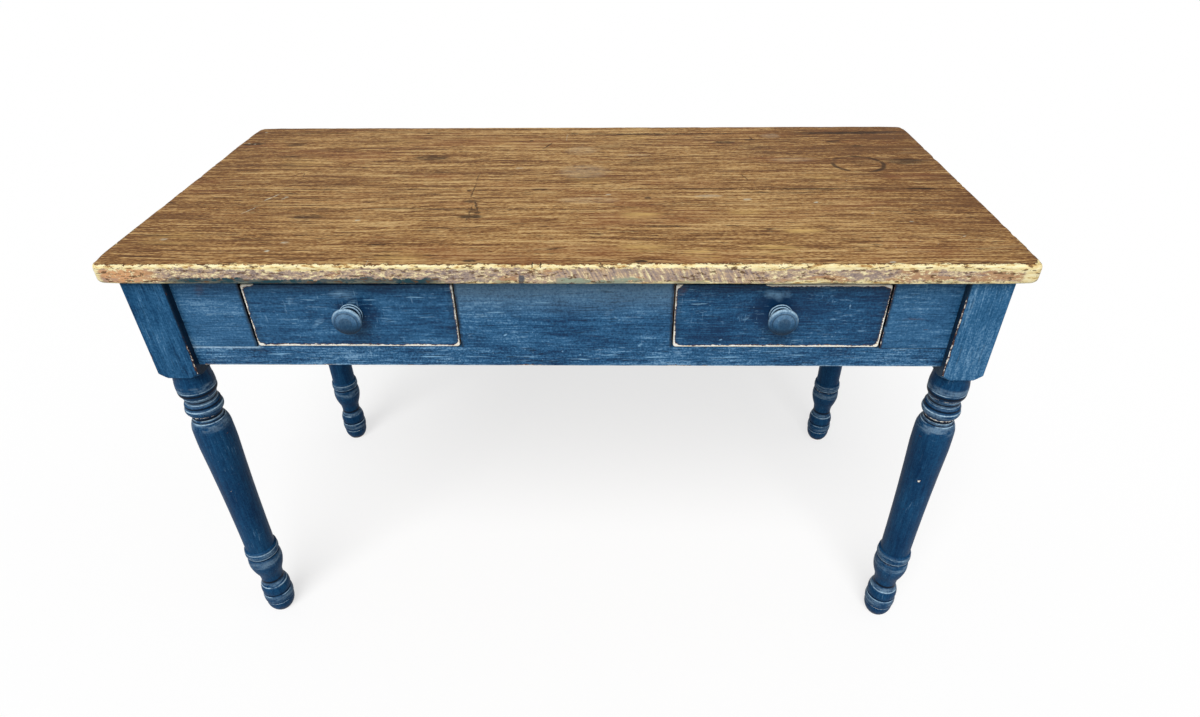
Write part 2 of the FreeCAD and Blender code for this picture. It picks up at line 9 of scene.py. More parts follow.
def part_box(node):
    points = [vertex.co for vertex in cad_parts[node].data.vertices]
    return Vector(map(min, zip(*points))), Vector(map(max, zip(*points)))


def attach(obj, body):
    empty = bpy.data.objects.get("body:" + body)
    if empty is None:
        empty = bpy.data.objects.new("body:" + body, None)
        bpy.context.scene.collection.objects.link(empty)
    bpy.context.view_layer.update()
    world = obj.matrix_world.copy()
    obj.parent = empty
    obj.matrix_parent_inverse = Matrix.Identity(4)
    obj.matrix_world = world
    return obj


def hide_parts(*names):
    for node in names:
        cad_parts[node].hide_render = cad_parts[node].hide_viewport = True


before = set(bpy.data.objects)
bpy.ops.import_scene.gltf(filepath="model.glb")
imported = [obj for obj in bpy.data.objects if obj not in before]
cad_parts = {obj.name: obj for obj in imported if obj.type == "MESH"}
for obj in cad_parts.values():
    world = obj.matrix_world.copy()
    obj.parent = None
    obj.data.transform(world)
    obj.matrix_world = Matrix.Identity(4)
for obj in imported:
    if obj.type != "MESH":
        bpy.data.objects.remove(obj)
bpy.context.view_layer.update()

# An old kitchen table: a scrubbed pine top of two boards on a base in worn navy paint, with two
# drawers. Lengths in metres unless a value is followed by MM, which turns millimetres into metres.

MM = 0.001

# ---------------------------------------------------------------- camera

CAMERA_PLACE = Vector((0.0676, -1.1507, 1.2107))
CAMERA_DOWN = math.radians(34.73)
CAMERA_TURN = math.radians(-1.2125)
CAMERA_ROLL = math.radians(0.552)
FOCAL_LENGTH_PIXELS = 734.1
PICTURE_WIDTH_PIXELS = 1200
SENSOR_WIDTH = 36.0


def make_camera():
    ahead = Vector((
        math.sin(CAMERA_TURN) * math.cos(CAMERA_DOWN),
        math.cos(CAMERA_TURN) * math.cos(CAMERA_DOWN),
        -math.sin(CAMERA_DOWN),
    ))
    right = Vector((math.cos(CAMERA_TURN), -math.sin(CAMERA_TURN), 0))
    up = right.cross(ahead)
    side = right * math.cos(CAMERA_ROLL) - up * math.sin(CAMERA_ROLL)
    top = right * math.sin(CAMERA_ROLL) + up * math.cos(CAMERA_ROLL)
    camera = bpy.data.objects.new("camera", bpy.data.cameras.new("camera"))
    camera.data.sensor_width = SENSOR_WIDTH
    camera.data.lens = FOCAL_LENGTH_PIXELS / PICTURE_WIDTH_PIXELS * SENSOR_WIDTH
    camera.matrix_world = Matrix.Translation(CAMERA_PLACE) @ Matrix((side, top, -ahead)).transposed().to_4x4()
    bpy.context.scene.collection.objects.link(camera)
    bpy.context.scene.camera = camera


# ---------------------------------------------------------------- writing materials

def rgb(red, green, blue):
    """A colour from its sRGB values, 0 to 255."""
    linear = [((c / 255 + 0.055) / 1.055) ** 2.4 if c > 10 else c / 255 / 12.92 for c in (red, green, blue)]
    return (*linear, 1.0)


class Graph:
    """One material's node tree. Each call adds a node and gives its output."""

    def __init__(self, name):
        self.material = bpy.data.materials.new(name)
        self.material.use_nodes = True
        self.tree = self.material.node_tree
        self.tree.nodes.clear()
        self.place = self.add("ShaderNodeTexCoord", out="Object")
        split = self.tree.nodes.new("ShaderNodeSeparateXYZ")
        self.tree.links.new(self.place, split.inputs[0])
        self.axes = list(split.outputs)

    def add(self, kind, inputs=None, out=0, **settings):
        node = self.tree.nodes.new(kind)
        for name, value in settings.items():
            setattr(node, name, value)
        for key, value in (inputs or {}).items():
            if isinstance(value, bpy.types.NodeSocket):
                self.tree.links.new(value, node.inputs[key])
            else:
                node.inputs[key].default_value = value
        return node.outputs[out]

    def math(self, operation, *values, clamp=False):
        return self.add("ShaderNodeMath", dict(enumerate(values)), operation=operation, use_clamp=clamp)

    def sum(self, *values):
        total = values[0]
        for value in values[1:]:
            total = self.math("ADD", total, value)
        return total

    def times(self, *values):
        total = values[0]
        for value in values[1:]:
            total = self.math("MULTIPLY", total, value)
        return total

    def minus(self, a, b):
        return self.math("SUBTRACT", a, b)

    def most(self, *values):
        total = values[0]
        for value in values[1:]:
            total = self.math("MAXIMUM", total, value)
        return total

    def least(self, *values):
        total = values[0]
        for value in values[1:]:
            total = self.math("MINIMUM", total, value)
        return total

    def vector(self, operation, *values, out=0):
        return self.add("ShaderNodeVectorMath", dict(enumerate(values)), out=out, operation=operation)

    def ramp(self, value, low, high, start=0.0, end=1.0):
        """Goes smoothly from start to end as the value goes from low to high."""
        inputs = {"Value": value, "From Min": low, "From Max": high, "To Min": start, "To Max": end}
        return self.add("ShaderNodeMapRange", inputs, interpolation_type="SMOOTHSTEP")

    def tones(self, value, *stops):
        """A colour ramp through (position, colour) stops."""
        ramp = self.tree.nodes.new("ShaderNodeValToRGB")
        self.tree.links.new(value, ramp.inputs[0])
        elements = ramp.color_ramp.elements
        for element, (position, colour) in zip(elements, stops):
            element.position, element.color = position, colour
        for position, colour in stops[2:]:
            elements.new(position).color = colour
        return ramp.outputs[0]

    def blend(self, share, a, b, mode="MIX"):
        inputs = {0: share, 6: a, 7: b}
        return self.add("ShaderNodeMix", inputs, out=2, data_type="RGBA", blend_type=mode)

    def noise(self, scale, detail=2.0, roughness=0.5, seed=0.0, place=None, distortion=0.0):
        """Smooth noise about 0.5. The scale is in waves a metre, one number or one for each axis."""
        scale = scale if isinstance(scale, tuple) else (scale,) * 3
        shift = (seed * 1.37, seed * 0.73 + 5.1, seed * 2.11)
        inputs = {0: place or self.place, 1: scale, 2: shift}
        inputs = {"Vector": self.add("ShaderNodeVectorMath", inputs, operation="MULTIPLY_ADD"), "Scale": 1.0,
                  "Detail": detail, "Roughness": roughness, "Distortion": distortion}
        return self.add("ShaderNodeTexNoise", inputs)

    def shaken(self, size, reach, seed=0.0):
        """The place, moved to and fro by up to about the reach, in waves of that size."""
        inputs = {0: self.place, 1: (1 / size,) * 3, 2: (seed, 0, seed)}
        place = self.add("ShaderNodeVectorMath", inputs, operation="MULTIPLY_ADD")
        wave = self.add("ShaderNodeTexNoise", {"Vector": place, "Scale": 1.0, "Detail": 3.0}, out="Color")
        wave = self.vector("SUBTRACT", wave, (0.5, 0.5, 0.5))
        return self.add("ShaderNodeVectorMath", {0: wave, 1: (reach * 2,) * 3, 2: self.place},
                        operation="MULTIPLY_ADD")

    def specks(self, spacing, radius, share, seed=0.0, place=None):
        """Scattered round specks, of which only that share of the cells has one."""
        inputs = {0: place or self.place, 1: (1 / spacing,) * 3, 2: (seed * 3.1, seed, seed * 1.7)}
        vector = self.add("ShaderNodeVectorMath", inputs, operation="MULTIPLY_ADD")
        cells = self.tree.nodes.new("ShaderNodeTexVoronoi")
        self.tree.links.new(vector, cells.inputs["Vector"])
        cells.inputs["Scale"].default_value = 1.0
        near = self.ramp(cells.outputs["Distance"], radius / spacing, radius / spacing * 0.4)
        dice = self.tree.nodes.new("ShaderNodeSeparateColor")
        self.tree.links.new(cells.outputs["Color"], dice.inputs[0])
        return self.times(near, self.math("LESS_THAN", dice.outputs[0], share))

    def oval(self, place, x, y, length, width, turn=0.0, up_axis=2):
        """The distance from the middle of a turned oval, 1 on its outline. It lies square to the up axis."""
        far = 1e6
        scale = [length / 2, width / 2]
        centre = [x, y]
        for values, filler in ((scale, far), (centre, 0.0)):
            values.insert(up_axis, filler)
        turned = [0.0, 0.0, 0.0]
        turned[up_axis] = math.radians(turn) * (-1 if up_axis == 1 else 1)
        inputs = {"Vector": place, "Location": centre, "Rotation": turned, "Scale": scale}
        local = self.add("ShaderNodeMapping", inputs, vector_type="TEXTURE")
        return self.vector("LENGTH", local, out="Value")

    def faces(self, low, high):
        """How far the place lies inside a box's faces, one value for each axis."""
        depths = []
        for axis, a, b in zip(self.axes, low, high):
            off_centre = self.math("ABSOLUTE", self.minus(axis, (a + b) / 2))
            depths.append(self.minus((b - a) / 2, off_centre))
        return depths

    def finish(self, colour, roughness, height=None, distance=0.0, specular=0.5):
        shader = self.tree.nodes.new("ShaderNodeBsdfPrincipled")
        for key, value in (("Base Color", colour), ("Roughness", roughness)):
            if isinstance(value, bpy.types.NodeSocket):
                self.tree.links.new(value, shader.inputs[key])
            else:
                shader.inputs[key].default_value = value
        shader.inputs["Specular IOR Level"].default_value = specular
        if height is not None:
            bump = self.add("ShaderNodeBump", {"Height": height, "Distance": distance, "Strength": 1.0},
                            out="Normal")
            self.tree.links.new(bump, shader.inputs["Normal"])
        output = self.tree.nodes.new("ShaderNodeOutputMaterial")
        self.tree.links.new(shader.outputs[0], output.inputs["Surface"])
        return self.material


def dress(node, material):
    """Gives a CAD node its material."""
    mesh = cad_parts[node].data
    mesh.materials.clear()
    mesh.materials.append(material)


def stretched(grain, along, across):
    """A noise scale for streaks that run along one axis."""
    return tuple(along if axis == grain else across for axis in range(3))


# ---------------------------------------------------------------- marks

def marks(g, place, groups, low, high, up_axis=2, soft=0.55):
    """A mask of oval marks on a face square to the up axis, of those that reach into the box.

    The groups give, for each shape, how many times longer than wide it is and its turn in degrees, and a
    row of marks as (first, second coordinate, width, strength) in millimetres.
    """
    mask = 0.0
    second = 3 - up_axis
    for (aspect, turn), spots in groups.items():
        angle = math.radians(turn)
        along, across = Vector((math.cos(angle), 0, 0)), Vector((-math.sin(angle), 0, 0))
        along[second], across[second] = math.sin(angle), math.cos(angle)
        along /= aspect
        flat = g.add("ShaderNodeCombineXYZ", {
            0: g.vector("DOT_PRODUCT", place, along, out="Value"),
            1: g.vector("DOT_PRODUCT", place, across, out="Value"),
        })
        for x, other, width, strength in spots:
            centre = Vector((x, 0, 0)) * MM
            centre[second] = other * MM
            half = width / 2 * MM
            reach = half * max(1, aspect * abs(math.sin(angle)))
            long = half * aspect
            if not low[second] - reach < centre[second] < high[second] + reach:
                continue
            if not low[0] - long < centre.x < high[0] + long:
                continue
            away = g.vector("DISTANCE", flat, Vector((centre.dot(along), centre.dot(across), 0)), out="Value")
            mask = g.most(mask, g.ramp(away, half * 1.15, half * (1.15 - soft), 0.0, strength))
    return mask


# ---------------------------------------------------------------- navy paint

NAVY_DEEP = rgb(6, 46, 82)
NAVY_MID = rgb(30, 80, 120)
NAVY_LIGHT = rgb(58, 110, 152)
NAVY_CHALK = rgb(124, 166, 200)
NAVY_DUST = rgb(104, 138, 164)
# Paint rubbed pale; on the legs and knobs also the colour of painted highlights.
NAVY_RUBBED_AND_HIGHLIGHT = rgb(176, 208, 230)
NAVY_SCUFF = rgb(140, 192, 228)
BARE_WOOD_DARK = rgb(190, 152, 104)
BARE_WOOD = rgb(252, 242, 216)
BARE_WOOD_PALE = rgb(255, 253, 244)
OLD_BROWN = rgb(92, 58, 40)
RAW_PINE_DARK = rgb(126, 92, 56)
RAW_PINE = rgb(168, 130, 86)
RAW_PINE_PALE = rgb(200, 166, 118)
# Dark dirt, also the colour of painted shade in gaps, grooves and recesses.
SHADE_AND_GRIME = rgb(14, 22, 34)
X, Y, Z = 0, 1, 2

# Marks on the front of the base, by (x, z).
PALE_SCUFFS = {
    (14, 0): ((-315, 706, 2.2, 0.9), (-385, 690, 2.0, 0.9), (-350, 684, 2.4, 0.6), (-395, 664, 2.4, 0.7),
              (-250, 660, 1.8, 0.5), (-210, 700, 2.0, 0.6), (70, 712, 2.0, 0.8), (95, 668, 2.4, 0.8),
              (-30, 692, 2.0, 0.7), (-100, 676, 2.2, 0.7), (172, 696, 2.0, 0.9), (188, 690, 1.8, 0.7),
              (60, 604, 2.4, 0.8), (-200, 600, 2.6, 0.8), (-330, 606, 3.0, 0.8), (-60, 600, 2.6, 0.8),
              (240, 600, 2.4, 0.7), (330, 604, 2.4, 0.7), (-420, 604, 3.0, 0.8), (-140, 714, 2.2, 0.7),
              (-360, 696, 1.8, 0.8), (-195, 668, 1.8, 0.6), (-272, 696, 1.6, 0.6), (-130, 600, 2.6, 0.8),
              (20, 596, 2.2, 0.8), (130, 600, 2.6, 0.8), (420, 600, 2.6, 0.8), (-500, 600, 2.4, 0.7)),
    (2.2, 35): ((-299, 691, 9, 0.3), (-352, 660, 10, 0.4), (-358, 654, 7, 0.5), (107, 621, 4, 0.7),
                (62, 676, 8, 0.35), (-87, 638, 3, 0.8), (222, 630, 3, 0.7), (-138, 638, 3, 0.7), (255, 667, 6, 0.4)),
    (1, 0): ((381, 636, 3.6, 1.0), (-234, 630, 3, 0.7), (-330, 618, 3.4, 0.7), (-420, 618, 3, 0.7),
             (134, 700, 3, 0.8), (222, 622, 3, 0.7), (337, 622, 3, 0.6), (-280, 602, 3.4, 0.7), (282, 706, 16, 0.22),
             (-385, 696, 12, 0.3), (20, 604, 3, 0.7), (-6, 610, 2.6, 0.6), (296, 704, 12, 0.25), (502, 700, 3, 0.5)),
    (4, 94): ((397, 686, 2.4, 0.9), (-345, 700, 2.0, 0.5)),
}
DARK_SCUFFS = {
    (7, 0): ((491, 666, 5, 0.5), (-470, 726, 8, 0.5), (512, 648, 1.6, 0.7)),
    (1.6, 60): ((164, 712, 14, 0.6), (-508, 712, 16, 0.4)),
}


def wavering(g, width, seed, size=26):
    """A width that wavers along an edge, from the least to the most of a pair."""
    return g.ramp(g.noise(size, 3.0, 0.6, seed), 0.36, 0.64, *width)


def navy_paint(name, node, grain, seed, tone=0.0, chalk=1.0, worn=None, dust_and_highlight=None, grime_and_shade=None, scuffed=False,
               lively=1.0, gloss=0.2, dust=NAVY_DUST, outer=None):
    """Old navy paint, brushed along one axis.

    The tone darkens (under 0) or lightens it; the tone and how lively its pattern is are numbers or functions
    of the graph. The worn function gives how far a place lies inside the bare wood, in metres. The next two
    functions give masks of 0 to 1: the first, of paint rubbed pale and dusty, and on the legs and knobs also of
    painted highlights on crests, rims and upper sides, blended towards the dust colour; the second, of dark
    dirt, dark joints and painted shade in gaps, grooves and under the top. Outer is the one painted face of a
    board, as its axis and side (0 for the low one, 1 for the high one): away from it the bare wood is dark old pine.
    """
    g = Graph(name)
    low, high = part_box(node)
    tone = tone(g) if callable(tone) else tone
    lively = lively(g) if callable(lively) else lively
    brush = g.noise(stretched(grain, 30, 520), 4.0, 0.72, seed)
    streak = g.noise(stretched(grain, 9, 150), 4.0, 0.68, seed + 1)
    mottle = g.noise(330, 3.0, 0.7, seed + 2)
    patch = g.noise(stretched(grain, 9, 17), 3.0, 0.6, seed + 3)
    pattern = g.sum(g.times(brush, 0.85), g.times(streak, 0.6), g.times(mottle, 0.75), g.times(patch, 0.6), -1.4)
    shade = g.sum(g.times(pattern, lively), tone, 0.5)
    colour = g.tones(shade, (0.24, NAVY_DEEP), (0.47, NAVY_MID), (0.70, NAVY_LIGHT), (0.95, NAVY_CHALK))

    rubbed = g.ramp(g.sum(patch, g.times(mottle, 0.2)), 0.60, 0.72)
    line = g.noise(stretched(grain, 45, 420), 3.0, 0.7, seed + 4)
    scuffs = g.times(g.ramp(line, 0.60, 0.68), g.ramp(rubbed, 0.0, 1.0, 0.25, 0.9), 0.85 * chalk)
    cross = g.noise(stretched(grain, 240, 34), 2.0, 0.5, seed + 5)
    scratches = g.times(g.ramp(cross, 0.68, 0.74), rubbed, 0.45 * chalk)
    dots = g.times(g.specks(12 * MM, 1.15 * MM, 0.16, seed), 0.75 * min(1.0, chalk))
    pale = g.times(g.most(scuffs, scratches, dots), g.least(g.times(lively, 1.4), 1.0))
    if scuffed:
        local = marks(g, g.shaken(14 * MM, 1.4 * MM, seed), PALE_SCUFFS, low, high, up_axis=1, soft=0.7)
        pale = g.most(pale, g.times(local, g.ramp(line, 0.42, 0.54, 0.25, 1.0)))
    colour = g.blend(pale, colour, NAVY_CHALK)
    if scuffed:
        colour = g.blend(g.times(local, g.ramp(line, 0.50, 0.60), 0.9), colour, NAVY_SCUFF)
    # Pale dust and rubbed paint; on the legs and knobs this also paints highlights on crests, rims and upper sides.
    if dust_and_highlight:
        colour = g.blend(g.times(dust_and_highlight(g), g.ramp(mottle, 0.34, 0.56, 0.55, 1.0)), colour, dust)
    if scuffed:
        local = marks(g, g.shaken(7 * MM, 3 * MM, seed + 1), DARK_SCUFFS, low, high, up_axis=1, soft=1.0)
        colour = g.blend(g.times(local, g.ramp(line, 0.4, 0.55, 0.4, 1.0)), colour, rgb(84, 60, 58))
    # Dark dirt settled at random in the paint; the part's own mask adds dark joints and painted shade in gaps, grooves
    # and under the top.
    dirt_and_shade = g.ramp(g.noise(stretched(grain, 28, 300), 3.0, 0.7, seed + 7), 0.59, 0.68, 0.0, 0.4)
    dirt_and_shade = g.times(dirt_and_shade, lively)
    if grime_and_shade:
        dirt_and_shade = g.most(dirt_and_shade, grime_and_shade(g))
    colour = g.blend(dirt_and_shade, colour, SHADE_AND_GRIME)

    height = g.sum(g.times(brush, 0.6), g.times(streak, 0.35), g.times(mottle, 0.4))
    roughness = g.ramp(g.sum(brush, g.times(patch, 0.6)), 0.6, 1.1, 0.40, 0.60)
    if worn:
        ragged = g.times(g.minus(g.noise(stretched(grain, 150, 420), 3.0, 0.72, seed + 9), 0.5), 7 * MM)
        bare = g.sum(worn(g), ragged)
        fibres = g.noise(stretched(grain, 110, 500), 3.0, 0.7, seed + 10)
        wood = g.tones(fibres, (0.28, BARE_WOOD_DARK), (0.37, BARE_WOOD), (0.50, BARE_WOOD_PALE))
        if outer:
            axis, side = outer
            behind = g.math("ABSOLUTE", g.minus(g.axes[axis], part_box(node)[side][axis]))
            old_pine = g.tones(g.sum(g.times(fibres, 0.6), g.times(streak, 0.4)), (0.34, RAW_PINE_DARK),
                               (0.46, RAW_PINE), (0.60, RAW_PINE_PALE))
            wood = g.blend(g.ramp(behind, 3 * MM, 5 * MM), wood, old_pine)
        rim = g.times(g.ramp(bare, -1.3 * MM, -0.5 * MM), g.ramp(fibres, 0.36, 0.52, 0.2, 0.9))
        colour = g.blend(rim, colour, OLD_BROWN)
        open_wood = g.ramp(bare, -0.1 * MM, 0.5 * MM)
        colour = g.blend(open_wood, colour, wood)
        height = g.minus(height, g.times(open_wood, 0.6))
        roughness = g.ramp(open_wood, 0.0, 1.0, roughness, 0.7)
    return g.finish(colour, roughness, height, 0.3 * MM, specular=gloss)


def arris_distance(g, depths):
    """On a board's surface, the distance from the nearest long edge: the middle one of three depths."""
    a, b, c = depths
    return g.most(g.least(a, b), g.least(g.most(a, b), c))


def raw_face(g, node, axis, sign, bare):
    """The bare wood with one whole unpainted face added."""
    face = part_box(node)[1 if sign > 0 else 0][axis]
    near = g.math("ABSOLUTE", g.minus(g.axes[axis], face))
    return g.most(bare, g.ramp(near, 0.9 * MM, 0.3 * MM, -9 * MM, 9 * MM))


def board_worn(node, width, axis, sign):
    """Wear that comes and goes along every edge of a board, and its raw inner face."""
    def worn(g):
        bare = g.minus(wavering(g, width, 3.3, 11), arris_distance(g, g.faces(*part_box(node))))
        return raw_face(g, node, axis, sign, bare)

    return worn


def gap_painted_shade(node, reach=5 * MM):
    """Painted shade along a panel's two upright edges, beside the gaps, and under the top."""
    low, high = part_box(node)

    def grime_and_shade(g):
        depths = g.faces(low, high)
        side = g.most(g.ramp(depths[X], reach, 0.8 * MM, 0.0, 0.8), g.ramp(depths[X], 0.5 * MM, 0.2 * MM))
        above = g.ramp(g.axes[Z], high.z - 14 * MM, high.z - 2 * MM, 0.0, 0.55)
        return g.times(g.most(side, above), g.ramp(g.noise(60, 3.0, 0.6, 4.4), 0.3, 0.55, 0.35, 1.0))

    return grime_and_shade


def dress_frame():
    """The rail, the panels and the aprons. Only their outer faces are painted."""
    rail_low, rail_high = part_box("front_rail")

    def rail_worn(g):
        """Broken wear along the lower edge, and none on the joint above."""
        under = g.minus(g.axes[Z], rail_low.z)
        bare = g.minus(wavering(g, (-3.6 * MM, 1.6 * MM), 5.1, 16), under)
        return raw_face(g, "front_rail", Y, 1, bare)

    def rail_joint(g):
        """A dark line along the top of the rail, at its right end."""
        line = g.ramp(g.minus(rail_high.z, g.axes[Z]), 1.6 * MM, 0.5 * MM, 0.0, 0.9)
        return g.times(line, g.ramp(g.axes[X], 440 * MM, 456 * MM))

    def rail_dust(g):
        """The same joint at the left end and the lower arris, both rubbed light."""
        line = g.ramp(g.minus(rail_high.z, g.axes[Z]), 3.4 * MM, 2.4 * MM)
        line = g.times(line, g.ramp(g.axes[X], -440 * MM, -456 * MM), 0.7)
        under = g.ramp(g.minus(g.axes[Z], rail_low.z), 3 * MM, 1 * MM, 0.0, 0.8)
        return g.most(line, g.times(under, g.ramp(g.noise(24, 4.0, 0.7, 5.7), 0.42, 0.6)))

    dress("front_rail", navy_paint("rail_paint", "front_rail", X, 11, 0.04, 2.0, rail_worn, rail_dust, rail_joint,
                                   scuffed=True, lively=1.6, dust=NAVY_RUBBED_AND_HIGHLIGHT, outer=(Y, 0)))
    for seed, side in ((21, "left"), (31, "right")):
        node = f"{side}_upper_rail"
        dress(node, navy_paint(f"{side}_upper_paint", node, X, seed + 2, -0.1, 0.5,
                               board_worn(node, (-4 * MM, 0.6 * MM), Y, 1), outer=(Y, 0)))
        node = f"{side}_front_end_panel"
        dress(node, navy_paint(f"{side}_panel_paint", node, X, seed, 0.11 if side == "left" else 0.07, 0.8,
                               board_worn(node, (-6 * MM, 0.0), Y, 1), grime_and_shade=gap_painted_shade(node), scuffed=True,
                               outer=(Y, 0)))
        node = f"{side}_end_apron"
        dress(node, navy_paint(f"{side}_apron_paint", node, Y, seed + 1, 0.0, 1.0,
                               board_worn(node, (-3 * MM, 1.4 * MM), X, 1 if side == "left" else -1),
                               outer=(X, 0 if side == "left" else 1)))
    low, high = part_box("front_centre_panel")

    def rubbed_top(g):
        return g.ramp(g.axes[Z], high.z - 75 * MM, high.z - 8 * MM, 0.0, 0.75)

    node = "front_centre_panel"
    dress(node, navy_paint("centre_paint", node, X, 41, 0.04, 1.0, board_worn(node, (-6 * MM, 0.0), Y, 1),
                           rubbed_top, gap_painted_shade(node), scuffed=True, lively=1.3, outer=(Y, 0)))
    node = "back_apron"
    dress(node, navy_paint("back_paint", node, X, 51, 0.0, 1.0, board_worn(node, (-3 * MM, 1.4 * MM), Y, -1),
                           outer=(Y, 1)))


# ---------------------------------------------------------------- legs

POST_BOTTOM = 568 * MM
# The heights between which the bare line on a left (-1) and a right (1) post's inner arris fades in.
POST_LINES = {-1: (690 * MM, 600 * MM), 1: (728 * MM, 694 * MM)}
# Rings of the turning, as (height, half width) in millimetres: soft haze where hands and feet rubbed the paint,
HAZE_RINGS = ((540, 8), (514, 10), (495, 7), (468, 15), (163, 8), (140, 11), (76, 8), (40, 10))
# crests lit along a thin line, partly worn paint and partly painted highlight,
LIT_AND_WORN_RINGS = ((534, 1.2), (519.5, 1.2), (509.5, 1.2), (498, 1.4), (478, 1.6), (472, 1.0), (166, 1.3), (155, 1.2),
               (72, 1.6), (47, 1.2), (26, 1.2))
# grooves darkened with painted shade and grime,
SHADE_AND_GRIME_RINGS = ((529, 4), (514, 2.5), (504, 2), (481, 4), (474, 1.2), (151, 2.5), (84, 4), (50.5, 2))
# and grooves where cream wood shows.
CREAM_RINGS = ((523, 1.4), (484.5, 1.6), (150.5, 1.4), (26, 0.8))
# Marks on the front legs' shafts, by (x, z).
LEG_KNOCKS = {
    (1.6, 80): ((-547, 456, 5, 0.8), (-551, 446, 3, 0.7), (567, 361, 7, 0.86), (552, 448, 4, 0.6)),
    (1, 0): ((-572, 330, 3, 0.8), (-588, 210, 3, 0.7), (560, 290, 3, 0.6), (-560, 400, 3, 0.6)),
}


def leg_rings(g, rings, seed, reach):
    """A mask of the rings of a turning, broken up round the leg."""
    mask = 0.0
    for level, half in rings:
        off = g.math("ABSOLUTE", g.minus(g.axes[Z], level * MM))
        mask = g.most(mask, g.ramp(off, half * MM, half * MM * 0.25))
    return g.times(mask, g.ramp(g.noise((40, 40, 150), 4.0, 0.66, seed), *reach))


def leg_paint(name, node, seed, side, front):
    """Side is -1 for a left leg and 1 for a right one; front is True for the two front legs."""
    low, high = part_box(node)
    post_inner = low.x if side > 0 else high.x
    face_y = low.y if front else high.y

    def on_post(g):
        return g.ramp(g.axes[Z], POST_BOTTOM - 2 * MM, POST_BOTTOM + 2 * MM)

    # The turned part is darker than the posts, partly its paint and partly painted shade under the table; the right
    # post is lighter.
    def tone(g):
        return g.ramp(on_post(g), 0.0, 1.0, -0.16, 0.19 if side > 0 else 0.0)

    def lively(g):
        return g.ramp(on_post(g), 0.0, 1.0, 0.5, 0.95)

    # A haze of rubbed paint, and thin light crests that are partly wear and partly painted highlights.
    def rubbed(g):
        haze = g.times(leg_rings(g, HAZE_RINGS, seed, (0.38, 0.62)), 0.30)
        return g.most(haze, g.times(leg_rings(g, LIT_AND_WORN_RINGS, seed + 2, (0.38, 0.52)), 0.95))

    # Painted shade with grime in the grooves, and painted shade along the post's inner arris beside the gap.
    def grime_and_shade(g):
        rings = g.times(leg_rings(g, SHADE_AND_GRIME_RINGS, seed + 3, (0.25, 0.45)), 0.95)
        inner = g.ramp(g.math("ABSOLUTE", g.minus(g.axes[X], post_inner)), 3 * MM, 1 * MM, 0.0, 0.8)
        return g.most(rings, g.times(inner, on_post(g)))

    def worn(g):
        inner = g.math("ABSOLUTE", g.minus(g.axes[X], post_inner))
        face = g.math("ABSOLUTE", g.minus(g.axes[Y], face_y))
        low_down = g.ramp(g.axes[Z], *POST_LINES[side], -1.6 * MM, 0.8 * MM)
        arris = g.minus(low_down, g.most(inner, face))
        depths = g.faces(low, high)
        corner = g.minus(wavering(g, (-4 * MM, 1.6 * MM), seed, 14), g.most(depths[0], depths[1]))
        post = g.ramp(on_post(g), 0.0, 1.0, -9 * MM, 0.0)
        bare = g.sum(g.most(arris, corner), post)
        rings = leg_rings(g, CREAM_RINGS, seed + 5, (0.40, 0.52) if side > 0 else (0.52, 0.64))
        bare = g.most(bare, g.ramp(rings, 0.0, 1.0, -3 * MM, 0.6 * MM))
        knocks = g.ramp(g.noise(40, 3.0, 0.65, seed + 6), 0.68, 0.80, -3 * MM, 0.2 * MM)
        foot = g.ramp(g.axes[Z], 12 * MM, 2 * MM, -3 * MM, -0.2 * MM)
        bare = g.most(bare, knocks, foot)
        if front:
            spots = marks(g, g.shaken(5 * MM, 2 * MM, seed), LEG_KNOCKS, low, high, up_axis=1, soft=0.9)
            bare = g.most(bare, g.ramp(spots, 0.1, 1.0, -3 * MM, 0.3 * MM))
        return bare

    return navy_paint(name, node, Z, seed, tone, 0.5, worn, rubbed, grime_and_shade, lively=lively, gloss=0.06, dust=NAVY_RUBBED_AND_HIGHLIGHT)


def dress_legs():
    for seed, row in ((61, "front"), (71, "back")):
        for side, sign in (("left", -1), ("right", 1)):
            node = f"{row}_{side}_leg"
            dress(node, leg_paint(f"{node}_paint", node, seed + 4 * sign, sign, row == "front"))


# ---------------------------------------------------------------- drawers

WEAR_CORNER = 12 * MM
# The arrises of a knob's collar, rubbed light and lit with painted highlights on the upper side, as (radius, how far it
# stands out from the drawer's face).
KNOB_ARRISES = ((16.3 * MM, 3.6 * MM), (14.1 * MM, 6.8 * MM))
# The bare part of each drawer front's upper edge, as (from x, to x) in millimetres.
BARE_TOPS = {"left": ((-464, -424), (-160, -136)), "right": ((270, 464), (140, 170))}


